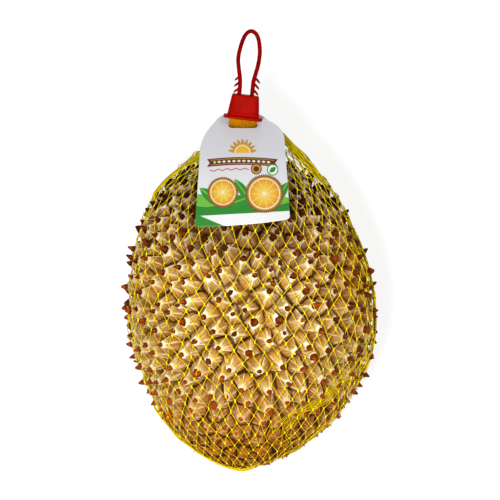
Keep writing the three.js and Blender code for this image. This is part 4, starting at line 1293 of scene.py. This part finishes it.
def husk_material(look):
    """Fibrous rind: olive-brown valleys deepened with painted shade, tan flanks streaked up towards the
    thorn, cream near the top, and painted light and shade over the front and sides.
    """
    made = Shader("rind", (0.45, 0.32, 0.16), 0.72, 0.05)
    rise, place = made.value("rise"), made.place()
    across, along, above = made.parts(place)
    streak = made.noise(made.uv("fibre", (1.0, 0.07, 1.0)), 1.0, 3.0, 0.6, 0.15)
    fine = made.noise(made.uv("fibre", (4.5, 0.2, 1.0)), 1.0, 3.0, 0.6)
    patch = made.noise(place, 30.0, 3.0, 0.5)
    speck = made.noise(place, 620.0, 3.0, 0.6)
    color = made.ramp(made.math("ADD", rise, made.span(streak, 0.36, 0.64, -0.13, 0.13)), (
        (0.0, (0.25, 0.1, 0.008)),
        (0.12, (0.36, 0.16, 0.022)),
        (0.3, look.flank_color),
        (0.5, look.crown_color),
        (0.7, (0.7, 0.57, 0.33)),
    ))
    stripe = made.times(made.span(streak, 0.53, 0.44), made.span(rise, 0.66, 0.3, 0.0, 0.45))
    hair = made.times(made.span(fine, 0.51, 0.6, 0.0, 0.66), made.span(rise, 0.8, 0.58))
    color = made.coats(
        color,
        (stripe, (0.25, 0.088, 0.006)),
        (hair, (0.19, 0.065, 0.008)),
        (made.span(made.value("tone"), 0.55, 1.0, 0.0, 0.35), (0.36, 0.175, 0.035)),
    )
    # No two flanks of a spine are equally dark.
    facet = made.span(made.value("facet"), 0.35, 1.0, 0.0, 0.75)
    color = made.mix(facet, color, (0.55, 0.5, 0.38), "MULTIPLY")
    color = made.coats(
        color,
        (made.span(patch, 0.5, 0.68, 0.0, 0.35), (0.3, 0.23, 0.12)),
        (made.span(speck, 0.6, 0.72, 0.0, 0.5), (0.1, 0.04, 0.008)),
        (made.span(speck, 0.4, 0.3, 0.0, 0.25), (0.7, 0.54, 0.28)),
    )
    # Darker and greyer towards the stalk.
    color = made.mix(made.span(along, at(30), at(78)), color, (0.8, 0.7, 1.0), "MULTIPLY")
    # Pale ridges, from wear and from a painted highlight where they catch the light, and a pale ring round
    # the thorn.
    ridge_wear_and_highlight = made.times(
        made.span(made.value("ridge"), 0.66, 0.95),
        made.span(rise, 0.08, 0.35),
        made.span(made.noise(place, 150.0), 0.38, 0.54, 0.1, 0.85),
    )
    ring = made.span(rise, 0.585, 0.655, 0.0, 0.8)
    color = made.coats(color, (ridge_wear_and_highlight, (0.7, 0.59, 0.4)), (ring, (0.75, 0.66, 0.49)))
    # Valleys: their dark olive colour, deepened into painted shade between the spines. Dark in some places
    # and plain in others, and the painted shade wider round the shoulder.
    uneven = made.span(made.noise(place, 110.0), 0.35, 0.65, -0.06, 0.08)
    low = made.span(along, at(-35), at(-105))
    shoulder = made.span(along, at(62), at(95))
    wider = made.math("ADD", made.times(shoulder, 0.18), made.times(low, 0.05))
    valley = made.math("SUBTRACT", made.math("ADD", rise, uneven), wider)
    ends = made.math("MAXIMUM", made.times(shoulder, 0.7), made.times(low, 0.3))
    deep = made.math("ADD", made.span(made.noise(place, 48.0), 0.42, 0.56, 0.5, 1.0), ends, clamp=True)
    color = made.mix(made.times(made.span(valley, 0.15, 0.045), deep), color, look.valley_shade_color)
    # Paler over the middle of the front: a painted pool of light. Dark where the card's lower edge shelters
    # it: the card's painted shadow.
    middle = tuple((MIDDLE + (0, -8, 88)) / 1000)
    far = made.node("VectorMath", {0: place, 1: middle}, operation="DISTANCE").outputs["Value"]
    off_card = made.math("ABSOLUTE", made.math("ADD", across, 0.0055))
    card_shadow = made.times(
        made.span(off_card, 0.062, 0.04), made.span(above, 0.11, 0.14), made.span(along, at(34), at(64))
    )
    # Browner towards the blossom end. Darker and browner round the sides, most on the right: painted shade,
    # as if lit from the left. Then the painted pool of light, the card's painted shadow and the gathered
    # net's painted shadow.
    lower = made.span(along, at(20), at(-25), 1.0, 0.5)
    left, right = (made.times(made.span(across, 0.45 * edge, edge), lower) for edge in (-0.095, 0.085))
    color = made.coats(
        color,
        (low, (0.68, 0.38, 0.08)),
        (left, (0.76, 0.64, 0.42)),
        (right, (0.56, 0.36, 0.08)),
        (made.span(far, 0.07, 0.03, 0.0, 0.6), (1.2, 1.2, 1.16)),
        (card_shadow, (0.4, 0.34, 0.25)),
        (made.value("net_shadow"), (0.72, 0.56, 0.34)),
        blend="MULTIPLY",
    )
    made.wear(Base_Color=color, Roughness=made.span(streak, 0.3, 0.7, 0.62, 0.85))
    made.bump(made.math("ADD", streak, made.times(fine, 0.6)), 0.0006, 1.0)
    return made.material


def thorn_material(look):
    """Dry woody thorn: rust brown, darker to the point, with a pale rim where it leaves the flank."""
    made = Shader("thorn", (0.2, 0.06, 0.02), 0.6, 0.03)
    place = made.place()
    across, along, _ = made.parts(place)
    grain = made.noise(place, 700.0, 3.0, 0.6)
    patch = made.noise(place, 330.0)
    color = made.ramp(made.math("ADD", made.value("rise"), made.span(grain, 0.3, 0.7, -0.12, 0.12)), (
        (0.0, (0.16, 0.05, 0.005)),
        (0.12, (0.06, 0.009, 0.0)),
        (0.4, look.thorn_color),
        (0.8, (0.36, 0.055, 0.0)),
        (1.0, (0.09, 0.014, 0.0)),
    ))
    color = made.coats(
        color,
        (made.span(made.value("tone"), 0.3, 1.0, 0.0, 0.8), (0.05, 0.009, 0.0)),
        (made.span(patch, 0.42, 0.58, 0.0, 0.85), (0.03, 0.005, 0.0)),
        # Orange towards the blossom end, and darker all round the shoulder. Darker on the right as painted
        # shade, as if lit from the left.
        (made.span(along, at(-10), at(-75), 0.0, 0.45), (0.36, 0.06, 0.002)),
        (made.span(along, at(35), at(85), 0.0, 0.92), (0.012, 0.002, 0.0005)),
        (made.span(across, 0.05, 0.09, 0.0, 0.65), (0.05, 0.007, 0.001)),
    )
    made.wear(Base_Color=color)
    made.bump(grain, 0.0004, 0.7)
    return made.material


def net_material(name, tint):
    """Extruded plastic: clear lemon yellow with uneven thickness, a little light passing through."""
    made = Shader(name, tint, 0.42, 0.02)
    place = made.place()
    _, along, _ = made.parts(place)
    color = made.mix(made.span(made.noise(place, 60.0), 0.35, 0.65), tint, dimmed(tint, 0.8))
    # Duller round the shoulder, as painted shade; and brown inside the ferrule's mouth, as painted shade in
    # its hollow.
    color = made.mix(made.span(along, at(35), at(85)), color, (0.72, 0.74, 1.0), "MULTIPLY")
    color = made.mix(made.span(along, at(146), at(151)), color, (0.36, 0.13, 0.0))
    made.wear(Base_Color=color, Subsurface_Weight=0.15, Subsurface_Radius=(0.001, 0.0008, 0.0002))
    made.bump(made.noise(place, 900.0), 0.0001, 0.4)
    return made.material


def stalk_material():
    """Grey-brown bark with cross cracks, and a paler fibrous face where the stalk was cut."""
    made = Shader("bark", (0.16, 0.11, 0.06), 0.85)
    place = made.place()
    stretched = made.node("Mapping", {"Vector": place, "Scale": (260, 700, 260)}).outputs[0]
    crack = made.noise(stretched, 1.0, 4.0)
    fibre = made.noise(place, 900.0, 3.0)
    bark = made.ramp(crack, (
        (0.3, (0.07, 0.045, 0.022)), (0.5, (0.2, 0.14, 0.075)), (0.7, (0.34, 0.26, 0.16)),
    ))
    wood = made.ramp(fibre, ((0.3, (0.3, 0.19, 0.09)), (0.7, (0.55, 0.4, 0.22))))
    made.wear(Base_Color=made.mix(made.value("cut"), bark, wood))
    made.bump(crack, 0.0006, 0.8)
    return made.material


def red_material(name, color, roughness):
    """Moulded plastic: even red with faint flow marks, a soft shine and a fine matt grain."""
    made = Shader(name, color, roughness, 0.008)
    place = made.place()
    flow = made.noise(place, 90.0, 3.0, 0.6, 0.6)
    grain = made.noise(place, 1500.0)
    made.wear(
        Base_Color=made.mix(made.span(flow, 0.35, 0.65), color, dimmed(color, 0.72)),
        Roughness=made.span(grain, 0.3, 0.7, roughness - 0.06, roughness + 0.08),
    )
    made.bump(made.math("ADD", grain, made.times(flow, 2.0)), 0.00008, 0.5)
    return made.material


def card_material(look):
    """Coated card: a made-up harvest motif of cut fruits and leaves under a plain brown ribbon."""
    made = Shader("card_print", (0.84, 0.85, 0.88), 0.32)
    uv = made.uv("plan", (100.0, 100.0, 1.0))
    paper, brown, cream, gold = (0.5, 0.5, 0.5), look.ribbon_color, look.cream_color, look.gold_color
    green, pale_green = look.leaf_color, look.pale_leaf_color

    def frame_at(x, y, half_x, half_y, turn=0.0):
        """Coordinates round a place, in which its half sizes are 1."""
        inputs = {"Vector": uv, "Location": (x, y, 0), "Rotation": (0, 0, turn)}
        inputs["Scale"] = (half_x, half_y, 1)
        return made.node("Mapping", inputs, vector_type="TEXTURE").outputs[0]

    def distance(local):
        """Distance from the middle of such coordinates."""
        return made.node("VectorMath", {0: local}, operation="LENGTH").outputs["Value"]

    def inside(value, edge=1.0, soft=0.015):
        """1 where the value is under the edge."""
        return made.span(made.math("SUBTRACT", value, edge), soft, -soft)

    def leaf(local):
        """Under 1 within a pointed oval along X."""
        x, y, _ = made.parts(local)
        return made.math("ADD", made.math("ABSOLUTE", y), made.times(x, x))

    x, y, _ = made.parts(uv)
    grain = made.span(made.noise(uv, 0.12, 3.0), 0.35, 0.7, 0.0, 0.15)
    # The paper is darker towards the top of the card: painted shade.
    color = made.coats(paper, (made.span(y, 80, 130), (0.385, 0.385, 0.405)), (grain, (0.35, 0.355, 0.37)))
    # Rolling fields across the lower part, with white ground and a green wedge before them.
    for level, swell, pace, shade in ((93, 2.6, 0.11, pale_green), (87.5, 2.2, -0.13, green)):
        over = made.math("SUBTRACT", made.math("ADD", made.times(made.wave(x, pace), swell), level), y)
        tint = made.mix(made.span(made.wave(over, 3.4), -1, 1, 0.0, 0.35), shade, dimmed(shade, 0.45))
        color = made.mix(made.span(over, -0.15, 0.15), color, tint)
    for level, slope, shade in ((80.6, 0.055, paper), (61.36, -0.42, green)):
        over = made.math("SUBTRACT", made.math("ADD", made.times(x, slope), level), y)
        color = made.mix(made.span(over, -0.12, 0.12), color, shade)
    # Leaves with pale ribs.
    for cx, cy, long, wide, turn in (
        (-31, 93, 13, 4.6, 2.5), (-8, 91, 14, 4.2, 0.35), (24, 97, 10, 3.8, 1.0), (-7, 99, 11, 3.6, 2.2),
    ):
        local = frame_at(cx, cy, long, wide, turn)
        rib = made.math("ABSOLUTE", made.parts(local)[1])
        veined = made.mix(inside(rib, 0.12, 0.05), green, pale_green)
        color = made.mix(inside(leaf(local), 1.0, 0.05), color, veined)
    # Cut fruits: spiky peel, flesh and the walls between its lobes.
    for cx, cy, size, lobes in ((10.5, 96, 15.5, 11), (-22.5, 97, 12.5, 9)):
        local = frame_at(cx, cy, size, size, 0.3)
        px, py, _ = made.parts(local)
        far, angle = distance(local), made.math("ARCTAN2", py, px)
        edge = made.math("ADD", made.times(made.ripples(angle, 2.5 * lobes), 0.07), 0.93)
        peel = made.ramp(far, (
            (0.8, (0.4, 0.2, 0.015)), (0.88, (0.2, 0.075, 0.008)), (1.0, (0.07, 0.022, 0.003)),
        ))
        flesh = made.ramp(far, (
            (0.1, (0.5, 0.36, 0.05)), (0.5, (0.47, 0.27, 0.012)), (0.74, (0.4, 0.17, 0.005)),
        ))
        wall = inside(made.times(made.ripples(angle, lobes / 2), far), 0.05, 0.02)
        color = made.coats(
            color,
            (inside(far, edge), peel),
            (inside(far, 0.8), cream),
            (inside(far, 0.74), flesh),
            (made.times(wall, inside(far, 0.76)), cream),
            (inside(far, 0.1), cream),
        )
    # Ribbon with a thin rule and a row of beads inside it, and a waved line below.
    middle = made.math("ADD", x, 7.0)
    arc = made.math("ADD", y, made.times(middle, middle, 0.0022))
    across = made.math("ABSOLUTE", made.math("SUBTRACT", arc, 122.0))
    length = made.math("SUBTRACT", made.math("ABSOLUTE", middle), made.times(across, 0.7))
    rule = made.math("ABSOLUTE", made.math("SUBTRACT", across, 1.9))
    bead = made.math("SUBTRACT", made.ripples(x, 0.8), made.times(across, 0.7))
    line = made.math("ABSOLUTE", made.math("SUBTRACT", arc, 115.6, made.times(made.wave(x, 0.9), 0.6)))
    waved = made.times(inside(length, 22.0, 0.2), made.span(x, -1.5, -2.5))
    color = made.coats(
        color,
        (made.times(inside(across, 3.1, 0.1), inside(length, 26.0, 0.1)), brown),
        (made.times(inside(rule, 0.22, 0.08), inside(length, 24.0, 0.1)), gold),
        (made.times(made.span(bead, 0.3, 0.45), inside(length, 22.5, 0.1)), cream),
        (made.times(inside(line, 0.42, 0.12), waved), (0.36, 0.03, 0.015)),
    )
    # Half a sun above the ribbon, and a gold and a green round sign under its right end.
    local = frame_at(-7, 128.5, 11.5, 11.5)
    px, py, _ = made.parts(local)
    far, upper = distance(local), made.span(py, -0.02, 0.02)
    ray = made.ripples(made.math("ARCTAN2", py, px), 9.0)
    gold_sign, green_sign = distance(frame_at(4, 115.6, 4.4, 4.4)), distance(frame_at(17, 115.0, 4.6, 4.6))
    color = made.coats(
        color,
        (made.times(inside(far, made.math("ADD", made.times(ray, 0.34), 0.64), 0.03), upper), gold),
        (made.times(inside(far, 0.56), upper), cream),
        (made.times(inside(far, 0.48), upper), (0.48, 0.27, 0.012)),
        (inside(gold_sign), brown),
        (inside(gold_sign, 0.84), gold),
        (inside(gold_sign, 0.5), brown),
        (inside(green_sign), green),
        (inside(green_sign, 0.82), paper),
        (inside(leaf(frame_at(17, 115.0, 3.2, 1.9, 0.7)), 1.0, 0.05), green),
    )
    made.wear(Base_Color=made.mix(made.value("printed"), (0.62, 0.6, 0.56), color))
    made.bump(made.noise(uv, 3.0), 0.00004, 0.3)
    return made.material


# ---- The stage ----


def build_stage(look):
    """A plain pale floor, three soft lamps and the camera straight above the middle of the frame."""
    scene = bpy.context.scene

    def placed(name, data, place):
        """The data as an object of the scene."""
        obj = bpy.data.objects.new(name, data)
        obj.location = place
        scene.collection.objects.link(obj)
        return obj

    mesh = bpy.data.meshes.new("floor")
    corners = [(x * FLOOR_HALF, y * FLOOR_HALF, 0) for x, y in ((-1, -1), (1, -1), (1, 1), (-1, 1))]
    mesh.from_pydata(corners, [], [(0, 1, 2, 3)])
    floor = placed("floor", mesh, (0, 0, 0))
    pale = Shader("floor_paint", (0.3, 0.3, 0.3), 0.9, 0.1)
    pale.wear(Emission_Color=(1.0, 1.0, 1.0), Emission_Strength=FLOOR_GLOW)
    floor.data.materials.append(pale.material)
    world = bpy.data.worlds.new("studio")
    world.use_nodes = True
    sky = world.node_tree.nodes["Background"].inputs
    sky[0].default_value = (1.0, 1.0, 1.0, 1)
    sky[1].default_value = look.fill_light
    scene.world = world
    for name, place, size, share in LAMPS:
        data = bpy.data.lights.new(name, "AREA")
        data.shape = "DISK"
        data.size = size
        data.energy = look.key_light * share
        lamp = placed(name, data, place)
        lamp.rotation_euler = (LAMP_AIM - Vector(place)).to_track_quat("-Z", "Y").to_euler()
    camera = bpy.data.cameras.new("camera")
    camera.sensor_width = SENSOR_WIDTH
    camera.lens = SENSOR_WIDTH * look.camera_distance / VIEW_WIDTH
    camera.clip_end = VIEW_REACH
    eye = (MIDDLE + (*EYE_SHIFT, 0)) / 1000 + (0, 0, look.camera_distance)
    scene.camera = placed("camera", camera, eye)
    scene.view_settings.view_transform = "Standard"


# ---- Add-on ----


class DurianLook(bpy.types.PropertyGroup):
    """Sizes and colours of the fruit, its net and the light."""

    spine_count: bpy.props.IntProperty(
        name="Spines", description="How many spines the husk carries", default=680, min=100
    )
    flank_hollow: bpy.props.FloatProperty(
        name="Flank hollow", description="Dish of the spines' flanks, as a share of their height",
        default=0.035,
    )
    roughness_depth: bpy.props.FloatProperty(
        name="Roughness", description="Unevenness of the rind, in millimetres", default=0.22
    )
    thorn_fullness: bpy.props.FloatProperty(
        name="Thorn fullness", description="Radius of the thorns' feet against the spines' there",
        default=0.74,
    )
    net_unevenness: bpy.props.FloatProperty(
        name="Net unevenness", description="How far knots stray from an even net, in millimetres",
        default=3.0,
    )
    strand_width: bpy.props.FloatProperty(
        name="Strand width", description="Width of the net's strands, in millimetres", default=0.62
    )
    net_sag: bpy.props.FloatProperty(
        name="Sag", description="How strongly strands sink between spines, in millimetres a round",
        default=0.16,
    )
    # Dark olive of the valleys, also used as painted shade between the spines.
    valley_shade_color: bpy.props.FloatVectorProperty(
        name="Valleys", description="Colour between the spines",
        subtype="COLOR", default=(0.026, 0.014, 0.001),
    )
    flank_color: bpy.props.FloatVectorProperty(
        name="Flanks", description="Colour of the spines' flanks",
        subtype="COLOR", default=(0.415, 0.218, 0.037),
    )
    crown_color: bpy.props.FloatVectorProperty(
        name="Crowns", description="Colour just below the thorns",
        subtype="COLOR", default=(0.54, 0.375, 0.126),
    )
    thorn_color: bpy.props.FloatVectorProperty(
        name="Thorns", description="Colour of the thorns", subtype="COLOR", default=(0.3, 0.042, 0.0)
    )
    net_color: bpy.props.FloatVectorProperty(
        name="Net", description="Colour of the net", subtype="COLOR", default=(0.64, 0.45, 0.0)
    )
    ferrule_color: bpy.props.FloatVectorProperty(
        name="Ferrule", description="Colour of the ferrule", subtype="COLOR", default=(0.25, 0.0015, 0.0)
    )
    loop_color: bpy.props.FloatVectorProperty(
        name="Loop", description="Colour of the hanging loop", subtype="COLOR", default=(0.17, 0.0, 0.0)
    )
    leaf_color: bpy.props.FloatVectorProperty(
        name="Leaves", description="Green of the card's print",
        subtype="COLOR", default=(0.014, 0.15, 0.014),
    )
    pale_leaf_color: bpy.props.FloatVectorProperty(
        name="Pale leaves", description="Light green of the card's print",
        subtype="COLOR", default=(0.1, 0.3, 0.03),
    )
    gold_color: bpy.props.FloatVectorProperty(
        name="Gold", description="Gold of the card's print", subtype="COLOR", default=(0.32, 0.17, 0.02)
    )
    cream_color: bpy.props.FloatVectorProperty(
        name="Cream", description="Cream of the card's print", subtype="COLOR", default=(0.5, 0.45, 0.3)
    )
    ribbon_color: bpy.props.FloatVectorProperty(
        name="Ribbon", description="Brown of the card's print",
        subtype="COLOR", default=(0.06, 0.012, 0.006),
    )
    # Paler than the net: thicker plastic, and a painted glint where the knots catch the light.
    knot_color_with_glint: bpy.props.FloatVectorProperty(
        name="Knots", description="Colour of the net's knots", subtype="COLOR", default=(0.86, 0.66, 0.0)
    )
    fill_light: bpy.props.FloatProperty(
        name="Fill light", description="Brightness of the surroundings", default=0.34
    )
    key_light: bpy.props.FloatProperty(
        name="Key light", description="Power of the main lamp, in watts", default=50.0
    )
    camera_distance: bpy.props.FloatProperty(
        name="Camera distance", description="From the middle of the fruit", subtype="DISTANCE", default=12.0
    )


class DURIAN_OT_husk(bpy.types.Operator):
    """Builds the spiny rind"""

    bl_idname = "durian.husk"
    bl_label = "Husk"

    def execute(self, context):
        build_husk(context.scene.durian_look)
        build_thorns(context.scene.durian_look)
        return {"FINISHED"}


class DURIAN_OT_net(bpy.types.Operator):
    """Builds the net"""

    bl_idname = "durian.net"
    bl_label = "Net"

    def execute(self, context):
        build_net(context.scene.durian_look)
        return {"FINISHED"}


class DURIAN_OT_stalk(bpy.types.Operator):
    """Builds the stalk stub"""

    bl_idname = "durian.stalk"
    bl_label = "Stalk"

    def execute(self, context):
        build_stalk()
        return {"FINISHED"}


class DURIAN_OT_card(bpy.types.Operator):
    """Builds the card tag"""

    bl_idname = "durian.card"
    bl_label = "Card"

    def execute(self, context):
        build_card(context.scene.durian_look)
        return {"FINISHED"}


class DURIAN_OT_clip(bpy.types.Operator):
    """Builds the ferrule and its hanging loop"""

    bl_idname = "durian.clip"
    bl_label = "Clip"

    def execute(self, context):
        build_ferrule(context.scene.durian_look)
        build_loop(context.scene.durian_look)
        return {"FINISHED"}


class DURIAN_OT_stage(bpy.types.Operator):
    """Builds the floor, the lamps and the camera"""

    bl_idname = "durian.stage"
    bl_label = "Stage"

    def execute(self, context):
        build_stage(context.scene.durian_look)
        return {"FINISHED"}


class DURIAN_PT_parts(bpy.types.Panel):
    """Lists the parts of the durian"""

    bl_idname = "DURIAN_PT_parts"
    bl_label = "Durian"
    bl_space_type = "VIEW_3D"
    bl_region_type = "UI"
    bl_category = "Durian"

    def draw(self, context):
        for operator in OPERATORS:
            self.layout.operator(operator.bl_idname)


OPERATORS = (
    DURIAN_OT_stage, DURIAN_OT_husk, DURIAN_OT_stalk, DURIAN_OT_net, DURIAN_OT_card, DURIAN_OT_clip,
)
CLASSES = (DurianLook, *OPERATORS, DURIAN_PT_parts)


def register():
    for made in CLASSES:
        bpy.utils.register_class(made)
    bpy.types.Scene.durian_look = bpy.props.PointerProperty(type=DurianLook)


def unregister():
    del bpy.types.Scene.durian_look
    for made in reversed(CLASSES):
        bpy.utils.unregister_class(made)


def main():
    """Registers the add-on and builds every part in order."""
    register()
    bpy.ops.durian.stage()
    bpy.ops.durian.husk()
    bpy.ops.durian.stalk()
    bpy.ops.durian.net()
    bpy.ops.durian.card()
    bpy.ops.durian.clip()


if __name__ == "__main__":
    main()
